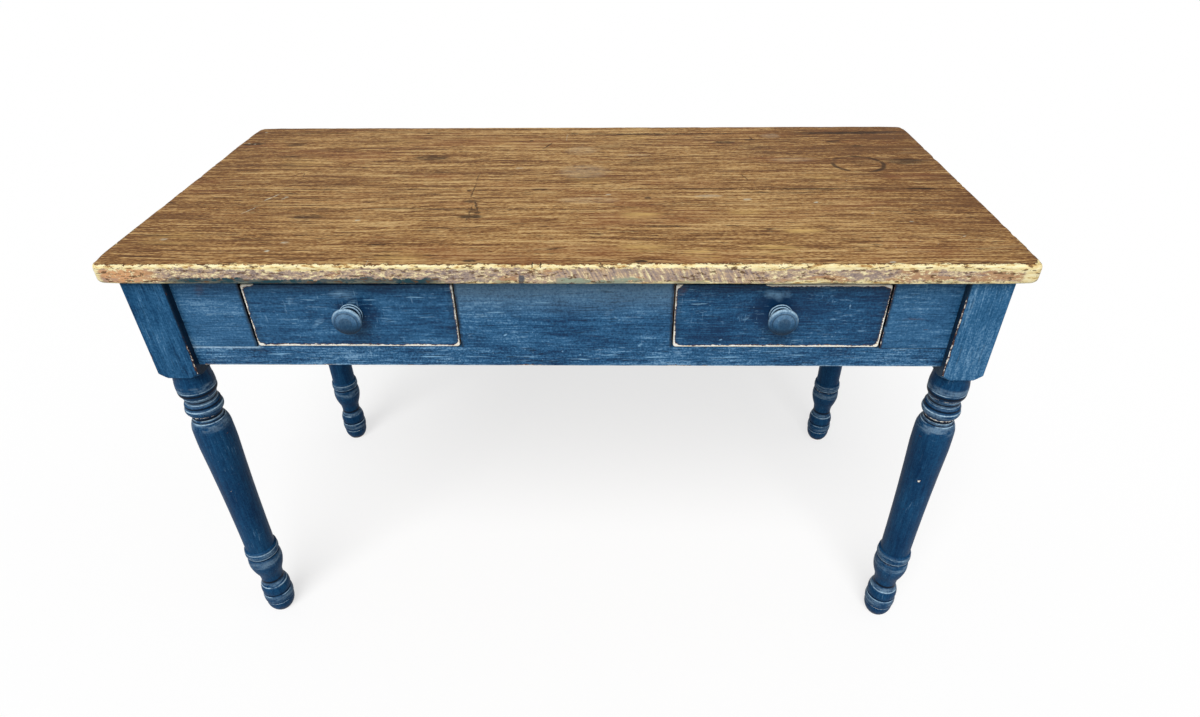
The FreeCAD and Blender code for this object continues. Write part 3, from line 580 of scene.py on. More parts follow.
def drawer_front_paint(side, seed):
    node = f"{side}_drawer_front"
    low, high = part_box(node)
    knob_low, knob_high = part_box(f"{side}_drawer_knob")
    knob_x, knob_z = (knob_low.x + knob_high.x) / 2, (knob_low.z + knob_high.z) / 2

    def worn(g):
        """Bare wood along the ends and the lower edge, broad at the rounded corners, and along part of the top."""
        reach = 0.0
        for start, end in BARE_TOPS[side]:
            middle, half = (start + end) / 2 * MM, (end - start) / 2 * MM
            reach = g.most(reach, g.ramp(g.math("ABSOLUTE", g.minus(g.axes[X], middle)), half, half - 12 * MM))
        at_side = wavering(g, (0.8 * MM, 2.4 * MM), seed)
        at_foot = wavering(g, (2.2 * MM, 4.0 * MM), seed + 1)
        at_top = g.ramp(reach, 0.0, 1.0, -4 * MM, 2.4 * MM)
        sides = g.math("MAXIMUM", g.minus(WEAR_CORNER, g.faces(low, high)[X]), 0.0)
        bare = -WEAR_CORNER
        for away, width in ((g.minus(g.axes[Z], low.z), at_foot), (g.minus(high.z, g.axes[Z]), at_top)):
            near = g.math("MAXIMUM", g.minus(WEAR_CORNER, away), 0.0)
            round_off = g.math("SQRT", g.sum(g.times(sides, sides), g.times(near, near)))
            width = g.ramp(g.minus(near, sides), -5 * MM, 3 * MM, at_side, width)
            bare = g.most(bare, g.sum(width, round_off, -WEAR_CORNER))
        front_only = g.ramp(g.axes[Y], low.y + 2.2 * MM, low.y + 3.2 * MM, -9 * MM, 9 * MM)
        return g.most(bare, front_only)

    def smudge(g):
        """Paint rubbed by hands above the knob."""
        place = g.shaken(12 * MM, 8 * MM, seed)
        above = g.oval(place, knob_x - 6 * MM, knob_z + 30 * MM, 40 * MM, 18 * MM, up_axis=1)
        return g.ramp(above, 1.2, 0.3, 0.0, 0.4)

    def tone(g):
        """Darker round the knob, the most on the side of the drawer's inner end: a painted shadow of the knob, with
        some grime round its base.
        """
        place = g.shaken(14 * MM, 4 * MM, seed + 2)
        inward = 12 * MM if side == "left" else -12 * MM
        near = g.ramp(g.oval(place, knob_x + inward, knob_z + 3 * MM, 72 * MM, 56 * MM, up_axis=1), 1.15, 0.5)
        return g.sum(g.times(near, -0.28), -0.03 if side == "left" else -0.12)

    def grime_and_shade(g):
        """Painted shade at the ends, beside the gaps, and under the top edge."""
        edge = g.ramp(g.faces(low, high)[X], 12 * MM, 4 * MM, 0.0, 0.3)
        above = g.ramp(g.axes[Z], high.z - 14 * MM, high.z - 3 * MM, 0.0, 0.35)
        return g.most(edge, above)

    return navy_paint(f"{side}_drawer_paint", node, X, seed, tone, 0.9, worn, smudge, grime_and_shade, scuffed=True,
                      lively=1.1, dust=NAVY_CHALK, outer=(Y, 0))


def knob_paint(side, seed):
    """A knob's paint, rubbed light by hands on its head and along its rings, with painted highlights on the upper rim,
    the upper face and the rings' upper side, and painted shade on the lower half, behind the head and between the
    rings.
    """
    node = f"{side}_drawer_knob"
    low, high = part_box(node)
    middle_x, middle_z = (low.x + high.x) / 2, (low.z + high.z) / 2
    size = high.z - low.z
    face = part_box(f"{side}_drawer_front")[0].y

    def outward(g):
        return g.oval(g.place, middle_x, middle_z, size, size, up_axis=1)

    def on_head(g):
        return g.ramp(g.axes[Y], low.y + 14 * MM, low.y + 11 * MM)

    def arris(g):
        """How far a place on the collar is from the nearest of its arrises."""
        radius = g.times(outward(g), size / 2)
        nearest = 1.0
        for round_at, out_at in KNOB_ARRISES:
            across = g.minus(radius, round_at)
            along = g.minus(g.axes[Y], face - out_at)
            nearest = g.least(nearest, g.math("SQRT", g.sum(g.times(across, across), g.times(along, along))))
        return nearest

    # Painted highlights: the upper rim and upper face of the head and the upper side of the collar's arrises, lighter
    # by how light falls.
    def rubbed(g):
        rim = g.ramp(outward(g), 0.80, 0.96)
        upper = g.ramp(g.axes[Z], middle_z - size * 0.25, middle_z + size * 0.4, 0.05, 1.0)
        brushed = g.ramp(g.noise(260, 3.0, 0.7, seed + 3), 0.36, 0.62, 0.6, 1.0)
        head = g.times(g.most(g.times(rim, upper, 0.95), g.times(upper, 0.30), 0.06), on_head(g), brushed)
        collar = g.times(g.ramp(arris(g), 1.2 * MM, 0.5 * MM), g.minus(1.0, on_head(g)))
        return g.most(head, g.times(collar, g.ramp(g.axes[Z], middle_z - size * 0.2, middle_z + size * 0.2, 0.2, 0.9)))

    # Painted shade between the collar's arrises, behind the head and on its lower half, with a darker scribed ring and
    # middle disc.
    def grime_and_shade(g):
        out = outward(g)
        collar = g.times(g.ramp(arris(g), 0.8 * MM, 1.8 * MM), g.minus(1.0, on_head(g)), 0.9)
        ring = g.ramp(g.math("ABSOLUTE", g.minus(out, 0.74)), 0.06, 0.02, 0.0, 0.5)
        disc = g.ramp(out, 0.50, 0.38, 0.0, 0.4)
        lower = g.ramp(g.axes[Z], middle_z + size * 0.1, low.z + 3 * MM, 0.0, 0.75)
        behind = g.ramp(g.axes[Y], low.y + 6 * MM, low.y + 8 * MM, 0.0, 0.85)
        return g.most(collar, g.times(g.most(ring, lower, disc, behind), on_head(g)))

    def worn(g):
        return g.ramp(g.noise(130, 3.0, 0.65, seed + 2), 0.70, 0.84, -6 * MM, 0.0)

    return navy_paint(f"{side}_knob_paint", node, Z, seed, 0.0, 0.7, worn, rubbed, grime_and_shade, lively=0.5, gloss=0.08,
                      dust=NAVY_RUBBED_AND_HIGHLIGHT)


def raw_pine(name, grain, seed, tone=0.0):
    """Unpainted pine of the drawers' insides and the hidden frame: dry, dusty, with age in its grain."""
    g = Graph(name)
    place = g.shaken(0.12, 3 * MM, seed)
    rings = g.noise(stretched(grain, 2.2, 95), 3.0, 0.55, seed, place)
    fine = g.noise(stretched(grain, 14, 620), 3.0, 0.6, seed + 1)
    cloud = g.noise(9, 3.0, 0.55, seed + 2)
    shade = g.sum(g.times(rings, 0.5), g.times(fine, 0.35), g.times(cloud, 0.35), -0.1 + tone)
    colour = g.tones(shade, (0.3, rgb(126, 92, 56)), (0.45, rgb(168, 130, 86)), (0.58, rgb(196, 160, 112)),
                     (0.75, rgb(214, 184, 140)))
    knots = g.specks(0.19, 7 * MM, 0.3, seed, g.shaken(0.03, 4 * MM, seed))
    colour = g.blend(g.times(knots, 0.8), colour, rgb(86, 54, 30))
    dust = g.ramp(g.noise(26, 3.0, 0.6, seed + 3), 0.5, 0.72, 0.0, 0.35)
    colour = g.blend(dust, colour, rgb(150, 134, 112))
    height = g.sum(g.times(rings, 0.4), fine)
    return g.finish(colour, g.ramp(fine, 0.3, 0.7, 0.66, 0.82), height, 0.3 * MM, specular=0.3)


def iron(name):
    """Rusty cut nails."""
    g = Graph(name)
    rust = g.noise(900, 3.0, 0.6)
    colour = g.tones(rust, (0.35, rgb(44, 38, 36)), (0.55, rgb(74, 56, 46)), (0.7, rgb(120, 74, 46)))
    return g.finish(colour, g.ramp(rust, 0.4, 0.65, 0.45, 0.85), rust, 0.2 * MM)


def dress_drawers():
    pine = {axis: [raw_pine(f"pine_{'xyz'[axis]}_{index}", axis, 81 + 7 * axis + 3 * index, 0.03 * index)
                   for index in range(2)] for axis in range(3)}
    nail_iron = iron("rusty_iron")
    for index, side in enumerate(("left", "right")):
        dress(f"{side}_drawer_front", drawer_front_paint(side, 101 + 10 * index))
        dress(f"{side}_drawer_knob", knob_paint(side, 131 + 10 * index))
    for node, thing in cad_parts.items():
        if "nails" in node:
            dress(node, nail_iron)
        elif any(word in node for word in ("runner", "guide", "_side")):
            dress(node, pine[Y]["outer" in node])
        elif any(word in node for word in ("stop", "_bottom", "drawer_back", "glue")):
            dress(node, pine[X]["right" in node])


# ---------------------------------------------------------------- the top's boards, as meshes

SKIRT = 12 * MM                # width of the worn border that runs round each board
COLUMN_SPACING = 2.6 * MM
ROW_SPACING = 5.5 * MM
UPPER_ARRIS = 3.6 * MM
LOWER_ARRIS = 2.6 * MM
CORNER_UPPER_ARRIS = 8.6 * MM  # the arrises are worn rounder towards the table's corners
CORNER_LOWER_ARRIS = 7.0 * MM
CORNER_WEAR = 46 * MM          # how far from the corner that begins
JOINT_ARRIS = 0.45 * MM
CORNER_RADIUS = 12 * MM
JOINT_CORNER = 1.0 * MM
NOTCHES = (-39 * MM, -28 * MM)  # two saw nicks in the front edge's upper arris
NOTCH_HALF = 1.3 * MM
NOTCH_DEPTH = 2.2 * MM
OPEN_JOINT_FROM = 60 * MM      # the joint shows as a line only to the right of this
# Long cracks, as (from x, to x, y, half width, depth).
BACK_CRACKS = ((-40, 300, 258, 0.8, 1.6), (-590, -430, 262, 0.7, 0.9), (470, 622, 262, 0.9, 1.2))
FRONT_CRACKS = ((-575, 45, -101, 0.6, 0.9), (92, 190, -166, 0.6, 0.7))


class Ripple:
    """Smooth seeded noise over a plane, from -1 to 1, one wave a unit."""

    def __init__(self, seed, cells=512):
        self.cells = cells
        self.heights = np.random.default_rng(seed).uniform(-1, 1, (cells, cells))

    def __call__(self, x, y=0.0):
        x, y = np.broadcast_arrays(np.asarray(x, float), np.asarray(y, float))
        column = np.floor(x).astype(int)
        row = np.floor(y).astype(int)
        across, up = x - column, y - row
        across = across * across * (3 - 2 * across)
        up = up * up * (3 - 2 * up)

        def corner(i, j):
            return self.heights[(column + i) % self.cells, (row + j) % self.cells]

        low = corner(0, 0) * (1 - across) + corner(1, 0) * across
        high = corner(0, 1) * (1 - across) + corner(1, 1) * across
        return low * (1 - up) + high * up


def spaced(start, end, spacing):
    return np.linspace(start, end, int(round((end - start) / spacing)) + 1)


def corner_path(leave, arrive, radius):
    """Offsets that lead round a corner, from one side's normal to the next one's, without both ends."""
    straight = SKIRT - radius
    path = []
    if straight > 0:
        path += [leave * SKIRT + arrive * straight * share for share in (0.5, 1.0)]
    steps = 8 if straight <= 0 else 3
    for step in range(1, steps):
        angle = math.pi / 2 * step / steps
        path.append((leave + arrive) * straight + (leave * math.cos(angle) + arrive * math.sin(angle)) * radius)
    if straight > 0:
        path += [arrive * SKIRT + leave * straight * share for share in (1.0, 0.5)]
    return path


class Board:
    """A board of the top: a height field of its upper face, with rings that lead round its worn edges."""

    def __init__(self, name, node, joint_side, cracks, seed):
        self.name, self.node, self.joint_side, self.seed = name, node, joint_side, seed
        self.low, self.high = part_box(node)
        self.ripple = Ripple(seed)
        self.cracks = [[value * MM for value in crack] for crack in cracks]

    def grid(self):
        """Columns, rows and each grid vertex's place, sunk where it is worn or cracked."""
        columns = spaced(self.low.x + SKIRT, self.high.x - SKIRT, COLUMN_SPACING)
        for notch in NOTCHES:
            columns = [column for column in columns if abs(column - notch) > 1.8 * NOTCH_HALF]
            columns += [notch - NOTCH_HALF, notch, notch + NOTCH_HALF]
        self.columns = np.array(sorted(columns))
        front, back = self.edges()
        rows = list(spaced(front + SKIRT, back - SKIRT, ROW_SPACING))
        for start, end, y, half, depth in self.cracks:
            rows = [row for row in rows if abs(row - y) > 2.2 * MM]
            rows += [y - half, y, y + half]
        rows = np.array(sorted(rows))
        x, y = np.meshgrid(self.columns, rows)
        fall = 0.25 * MM * (1 + self.ripple(x / 0.21, y / 0.07)) + 0.08 * MM * (1 + self.ripple(x / 0.05, y / 0.012))
        crack_mask = np.zeros_like(x)
        for start, end, level, half, depth in self.cracks:
            inside = np.clip(np.minimum(x - start, end - x) / 0.05, 0, 1)
            inside = inside * np.clip(0.75 + 0.6 * self.ripple(x / 0.03, 9.5), 0, 1)
            near = np.clip(1 - np.abs(y - level) / half, 0, 1)
            fall = fall + depth * near * inside
            crack_mask = np.maximum(crack_mask, near * inside)
            wander = 1.3 * MM * self.ripple(x / 0.09, 3.7 + level)
            y = y + wander * (np.abs(y - level) <= half + 1e-6)
        fall *= np.clip((np.minimum(x - self.low.x, self.high.x - x) - SKIRT) / 0.03 + 0.3, 0, 1)
        self.row_count = len(rows)
        points = np.stack([x, y, self.high.z - fall], axis=-1).reshape(-1, 3)
        return points, crack_mask.reshape(-1)

    def edges(self):
        """The board's front and back edge. The tongue of the joint stays hidden."""
        joint = frame_joint()
        return (self.low.y, joint) if self.joint_side > 0 else (joint, self.high.y)

    def stations(self):
        """Steps round the board: the grid vertex each starts from, and the offset to the outer edge."""
        columns, rows = len(self.columns), self.row_count
        right, back = Vector((1, 0)), Vector((0, 1))
        sides = [
            (-back, right, [column for column in range(columns)]),
            (right, back, [row * columns + columns - 1 for row in range(rows)]),
            (back, -right, [(rows - 1) * columns + column for column in reversed(range(columns))]),
            (-right, -back, [row * columns for row in reversed(range(rows))]),
        ]
        steps = []
        for index, (normal, following, vertices) in enumerate(sides):
            on_joint = normal.y == self.joint_side
            next_on_joint = following.y == self.joint_side
            steps += [(vertex, normal * SKIRT, on_joint) for vertex in vertices]
            radius = JOINT_CORNER if on_joint or next_on_joint else CORNER_RADIUS
            steps += [(vertices[-1], offset, False) for offset in corner_path(normal, following, radius)]
        return steps

    def build(self):
        points, crack_mask = self.grid()
        steps = self.stations()
        start = np.array([step[0] for step in steps])
        outward = np.array([step[1] for step in steps])
        joint = np.array([step[2] for step in steps])
        travel = np.cumsum(np.hypot(*np.diff(points[start, :2] + outward, axis=0, append=0).T))
        travel = np.concatenate([[0], travel[:-1]])
        rings, falls, notched = self.rings(points[start], outward, joint, travel)
        count = len(steps)
        vertices = np.concatenate([points] + rings)
        first = len(points)
        faces = []
        columns = len(self.columns)
        for row in range(self.row_count - 1):
            for column in range(columns - 1):
                corner = row * columns + column
                faces.append((corner, corner + 1, corner + columns + 1, corner + columns))
        for step in range(count):
            following = (step + 1) % count
            a, b = start[step], start[following]
            outer = [first + step, first + following]
            faces.append((a, *outer, b) if a != b else (a, *outer))
            for ring in range(len(rings) - 1):
                here = first + ring * count
                faces.append((here + step, here + count + step, here + count + following, here + following))
        faces += self.underside(first + (len(rings) - 1) * count, steps)
        mesh = bpy.data.meshes.new(self.name)
        mesh.from_pydata(vertices.tolist(), [], [tuple(map(int, face)) for face in faces])
        attributes = {
            "edge_fall": np.concatenate([np.full(len(points), -SKIRT)] + falls),
            "crack": np.concatenate([crack_mask] + self.dark_rings(points[start, 0], joint, notched, len(rings))),
        }
        for name, values in attributes.items():
            mesh.attributes.new(name, "FLOAT", "POINT").data.foreach_set("value", values.astype(np.float32))
        tidy = bmesh.new()
        tidy.from_mesh(mesh)
        bmesh.ops.recalc_face_normals(tidy, faces=tidy.faces)
        tidy.to_mesh(mesh)
        tidy.free()
        mesh.shade_smooth()
        return mesh

    def dark_rings(self, x, joint, notched, count):
        """How dark each ring is: along the open part of the joint, and in the notches."""
        is_open = np.clip((x - OPEN_JOINT_FROM) / 0.05, 0, 1) * np.clip(0.75 + self.ripple(x / 0.04, 21.5), 0.2, 1)
        is_open = np.maximum(is_open, np.clip(self.ripple(x / 0.05, 23.5) * 1.4 - 0.2, 0, 0.9))
        on_joint = np.where(joint, is_open, 0)
        return [np.maximum(on_joint * (ring >= 2), notched * (ring < 8)) for ring in range(count)]

    def rings(self, inner, outward, joint, travel):
        """Rings of vertices round the edge, and how far down the edge's outline each lies."""
        radius_noise = self.ripple(travel / 0.017, 0.5) * 0.9 + self.ripple(travel / 0.06, 4.5)
        place = inner[:, :2] + outward
        to_end = np.minimum(place[:, 0] - self.low.x, self.high.x - place[:, 0])
        outer_y = self.low.y if self.joint_side > 0 else self.high.y
        away = np.hypot(to_end, place[:, 1] - outer_y)
        corner = np.clip(1 - away / CORNER_WEAR, 0, 1) ** 1.5
        upper = UPPER_ARRIS + (CORNER_UPPER_ARRIS - UPPER_ARRIS) * corner
        lower = LOWER_ARRIS + (CORNER_LOWER_ARRIS - LOWER_ARRIS) * corner
        upper = np.where(joint, JOINT_ARRIS, upper * (1 + 0.22 * radius_noise * (1 - corner)))
        lower = np.where(joint, JOINT_ARRIS, lower * (1 + 0.25 * self.ripple(travel / 0.04, 7.5) * (1 - corner)))
        chip = np.clip(self.ripple(travel / 0.011, 11.5) - 0.35, 0, 1) * 2.2 * MM
        on_front = (outward[:, 1] < 0) & ~joint
        notched = np.zeros(len(travel))
        for notch in NOTCHES:
            notched = np.maximum(notched, np.clip(1 - np.abs(inner[:, 0] - notch) / NOTCH_HALF, 0, 1) * on_front)
        chip = np.where(joint, 0, chip + NOTCH_DEPTH * notched)
        top, bottom = self.high.z, self.low.z
        outline = []
        for share in (0.7, 0.35):
            outline.append((upper + (SKIRT - upper) * share, np.zeros(len(travel)), 0.0))
        arc = 6
        for index in range(arc + 1):
            angle = math.pi / 2 * index / arc
            weight = math.sin(2 * angle)
            outline.append((upper * (1 - math.sin(angle)), upper * (1 - math.cos(angle)), weight))
        depth = top - bottom
        for share in (0.25, 0.5, 0.75):
            drop = upper + (depth - lower - upper) * share
            outline.append((np.zeros(len(travel)), drop, 0.0))
        for index in range(arc):
            angle = math.pi / 2 * index / (arc - 1)
            outline.append((lower * (1 - math.cos(angle)), depth - lower * (1 - math.sin(angle)), 0.0))
        outline.append((np.full(len(travel), 9.0 * MM), np.full(len(travel), depth), 0.0))

        surface_sink = top - inner[:, 2]
        rings, falls = [], []
        last = outline[0][:2]
        path = -last[0]
        for inset, drop, weight in outline:
            path = path + np.hypot(inset - last[0], drop - last[1])
            last = (inset, drop)
            wave = 0.22 * MM * (1 + self.ripple(travel / 0.09, drop / 0.02 + 2.5))
            wave = wave + 0.12 * MM * (1 + self.ripple(travel / 0.012, drop / 0.006 + 31.5))
            on_rim = np.clip(drop / upper, 0, 1) * np.where(joint, 0, 1)
            inward = inset + wave * on_rim + chip * weight
            share = 1 - inward / SKIRT
            place = inner.copy()
            place[:, :2] += outward * share[:, None]
            fade = np.clip(1 - drop / (4 * MM), 0, 1)
            place[:, 2] = top - drop - surface_sink * fade * 0.6 - chip * weight
            place[:, 2] = np.maximum(place[:, 2], bottom)
            rings.append(place)
            falls.append(path.copy())
        return rings, falls, notched

    def underside(self, first, steps):
        """Strips across the underside, from front to back, and one face at each end."""
        columns, rows = len(self.columns), self.row_count
        corner_steps = [index for index in range(len(steps))]
        front = corner_steps[:columns]
        count = len(steps)
        back_start = next(index for index in range(count)
                          if steps[index][0] == (rows - 1) * columns + columns - 1
                          and steps[index][1] == Vector((0, 1)) * SKIRT)
        back = [back_start + index for index in range(columns)][::-1]
        faces = []
        for column in range(columns - 1):
            faces.append((first + front[column], first + back[column],
                          first + back[column + 1], first + front[column + 1]))
        right_end = list(range(front[-1], back[-1] + 1))
        left_end = list(range(back[0], count)) + [front[0]]
        faces.append(tuple(first + index for index in right_end))
        faces.append(tuple(first + index for index in left_end))
        return faces


def frame_joint():
    """The line of the joint between the two boards: the back board's front edge."""
    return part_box("top_back_board")[0].y


# ---------------------------------------------------------------- the top's material

PINE_DARKEST = rgb(70, 44, 24)
PINE_DARK = rgb(110, 72, 38)
PINE_BROWN = rgb(142, 100, 56)
PINE_MID = rgb(168, 125, 74)
PINE_LIGHT = rgb(196, 154, 98)
PINE_PALE = rgb(216, 182, 126)
CREAM_BROWN = rgb(176, 132, 74)
CREAM = rgb(240, 218, 156)
CREAM_PALE = rgb(253, 240, 192)
OLD_PAINT_DARK = rgb(98, 76, 68)
OLD_PAINT_MAUVE = rgb(156, 140, 134)
OLD_PAINT_PINK = rgb(188, 162, 142)
OLD_PAINT_TAN = rgb(214, 186, 148)
OLD_PAINT_ORANGE = rgb(190, 140, 92)
OLD_PAINT_PEACH = rgb(228, 172, 122)
TEAL_PAINT_AND_SHADE = rgb(24, 64, 74)
GREY_GREEN = rgb(158, 168, 146)
END_GRAIN = rgb(134, 98, 62)

# Marks on the upper face, by (x, y).
DARK_MARKS = {
    (34, 0): ((170, 253, 9.5, 1.0), (-150, 284, 7, 0.5), (-330, 266, 7, 0.45)),
    (14, 0): ((508, 256, 15, 0.95),),
    (45, 0): (
        (30, 258, 2.6, 0.55), (-505, 262, 4, 0.8), (-265, -101, 4, 0.6), (-455, -24, 5, 0.6),
        (-300, -37, 4, 0.55), (-400, -62, 4.5, 0.5), (-430, -88, 5, 0.55), (-400, 240, 4, 0.4), (330, -40, 5, 0.5),
        (250, -84, 3, 0.5), (560, 263, 4, 0.7),
    ),
    (3.2, 8): ((-608, 200, 15, 1.0),),
    (9, 0): (
        (560, 262, 13, 0.6), (142, -166, 8, 0.7), (-514, 130, 6, 0.95), (-80, 232, 5, 0.4), (420, 120, 5, 0.45),
        (-330, 150, 4, 0.5), (90, 180, 4, 0.4), (-560, 60, 5, 0.4), (340, 150, 6, 0.4), (-200, -180, 5, 0.4),
        (400, -210, 5, 0.45), (-520, -230, 5, 0.4), (30, -230, 4, 0.4), (540, -110, 6, 0.5), (-60, 90, 4, 0.4),
    ),
    (2.6, 0): (
        (-256, 123, 27, 0.8), (-524, 196, 17, 0.6), (273, 204, 16, 0.8), (324, 218, 9, 0.6), (576, 101, 30, 0.8), (-392, -132, 20, 0.6),
        (-124, -276, 8, 0.95), (105, -276, 8, 0.95), (-7, 258, 7, 0.75), (513, 181, 10, 0.85), (476, 206, 12, 0.7), (60, 182, 24, 0.3),
        (330, 176, 26, 0.3), (120, 95, 24, 0.25), (-145, -132, 16, 0.9), (-153, -74, 12, 0.7), (-230, 55, 20, 0.25),
    ),
    (1, 0): (
        (-290, 261, 8, 0.85), (460, 258, 9, 0.85), (-86, 215, 8.5, 0.85), (-250, 120, 20, 0.4), (485, 213, 10, 0.5),
        (560, 98, 12, 0.5), (-361, 73, 11, 0.5), (122, -62, 13, 0.7), (-146, -110, 15, 0.6), (-90, -106, 8, 0.6),
        (-137, -117, 10, 0.7), (-266, 60, 8, 0.4), (-280, 10, 7, 0.4), (-164, -30, 8, 0.8), (-390, -140, 9, 0.5),
    ),
    (13, 66): ((-54, 185, 3.4, 1.0), (-468, 44, 2.2, 0.6), (-560, 40, 2.2, 0.4), (-436, 50, 2.2, 0.45)),
    (13, 104): ((-143, -92, 4, 0.85), (-456, 40, 2.2, 0.6), (286, 25, 2.4, 0.75), (327, 226, 2.6, 0.75)),
    (22, 90): ((-158, 30, 2.4, 0.6), (-157, -32, 3, 0.7), (-149, -120, 3, 0.7), (-398, -30, 2, 0.4)),
}
# Pale marks on the upper face, by (x, y): knocks, scrapes and pale spots, and broad soft grey patches that are a
# painted sheen.
PALE_MARKS_AND_SHEEN = {
    (1.8, 20): (
        (-616, 203, 4, 0.8), (-604, 199, 3, 0.8), (-94, 71, 8, 0.45), (276, -68, 9, 0.7), (-393, -220, 7, 1.0), (-311, -145, 5, 1.0), (-407, -246, 5, 1.0),
        (-569, -209, 7, 0.8), (-450, -56, 4, 0.9),
        (-453, -62, 4, 0.8), (380, -79, 5, 0.9), (60, -48, 5, 0.6), (436, -279, 6, 0.8), (-609, 268, 4, 0.7),
        (503, -150, 4, 0.6), (560, -200, 4, 0.6), (455, -120, 4, 0.6),
    ),
    (1.3, 0): ((18, 54, 70, 0.18), (10, 160, 48, 0.14), (365, 240, 30, 0.2)),
    (4, 0): ((218, -54, 12, 0.4), (30, -70, 26, 0.14), (380, 110, 22, 0.14), (110, 135, 12, 0.2)),
    (16, 62): ((-474, -58, 2.4, 0.9), (-489, -107, 2.0, 0.8)),
    (22, 90): ((-20, 235, 2, 0.4), (-260, -285, 1.4, 0.7)),
}
YELLOW_MARKS = {
    (1.7, 0): (
        (112, -120, 46, 0.8), (270, -118, 42, 0.75), (340, -180, 40, 0.8), (290, -235, 50, 0.9), (190, -258, 44, 0.8),
        (110, -235, 50, 0.6), (-330, 210, 60, 0.35), (-120, 215, 56, 0.35), (110, 235, 40, 0.5), (-560, -210, 60, 0.4),
        (-220, -262, 50, 0.45), (30, 20, 50, 0.35), (-480, 90, 60, 0.3), (420, 30, 50, 0.25),
    ),
}
RING_STAIN = (490, 88, 86, 76)
PALE_GREY_AND_SHEEN = rgb(206, 198, 176)


def pine_face(g, seed):
    """Colour and height of old scrubbed pine with its grain along X."""
    bend = g.noise((1.6, 5, 5), 2.0, 0.5, seed)
    sway = g.add("ShaderNodeCombineXYZ", {0: 0.0, 1: g.times(g.minus(bend, 0.5), 0.05), 2: 0.0})
    place = g.vector("ADD", g.shaken(0.09, 0.5 * MM, seed), sway)
    broad = g.noise((1.3, 26, 26), 2.0, 0.5, seed + 1, place)
    streak = g.noise((3.2, 125, 125), 5.0, 0.76, seed + 2, place)
    fine = g.noise((13, 310, 310), 4.0, 0.74, seed + 3, place)
    pores = g.noise((150, 700, 700), 2.0, 0.6, seed + 4, place)
    cloud = g.noise((7, 12, 12), 4.0, 0.62, seed + 5)
    right = g.ramp(g.sum(g.axes[X], g.times(g.axes[Y], 0.6)), 300 * MM, 700 * MM, 0.0, 0.30)
    left = g.ramp(g.axes[X], -300 * MM, -600 * MM, 0.0, 0.12)
    shade = g.sum(g.times(broad, 0.15), g.times(streak, 1.6), g.times(fine, 2.1), g.times(pores, 1.5),
                  g.times(cloud, 0.25), g.minus(-2.31, g.sum(left, right)))
    colour = g.tones(shade, (0.22, PINE_DARK), (0.38, PINE_BROWN), (0.50, PINE_MID), (0.64, PINE_LIGHT),
                     (0.82, PINE_PALE))
    red = g.ramp(g.noise((5, 16, 16), 3.0, 0.6, seed + 6), 0.5, 0.7, 0.0, 0.4)
    colour = g.blend(red, colour, rgb(142, 86, 50))
    # Short dark dashes, dark late wood and a few light fibres.
    dashes = g.ramp(g.noise((18, 280, 280), 3.0, 0.7, seed + 7, place), 0.40, 0.35, 0.0, 0.95)
    deep = g.times(g.ramp(streak, 0.40, 0.35), g.ramp(cloud, 0.62, 0.42), 0.55)
    lines = g.most(dashes, deep)
    colour = g.blend(lines, colour, PINE_DARKEST)
    light = g.times(g.ramp(fine, 0.59, 0.66), g.ramp(cloud, 0.40, 0.56), 0.75)
    colour = g.blend(light, colour, PINE_PALE)
    height = g.sum(g.times(streak, 0.5), g.times(fine, 0.6), g.times(pores, 0.3), g.times(lines, -0.3))
    return colour, height, streak, fine, cloud


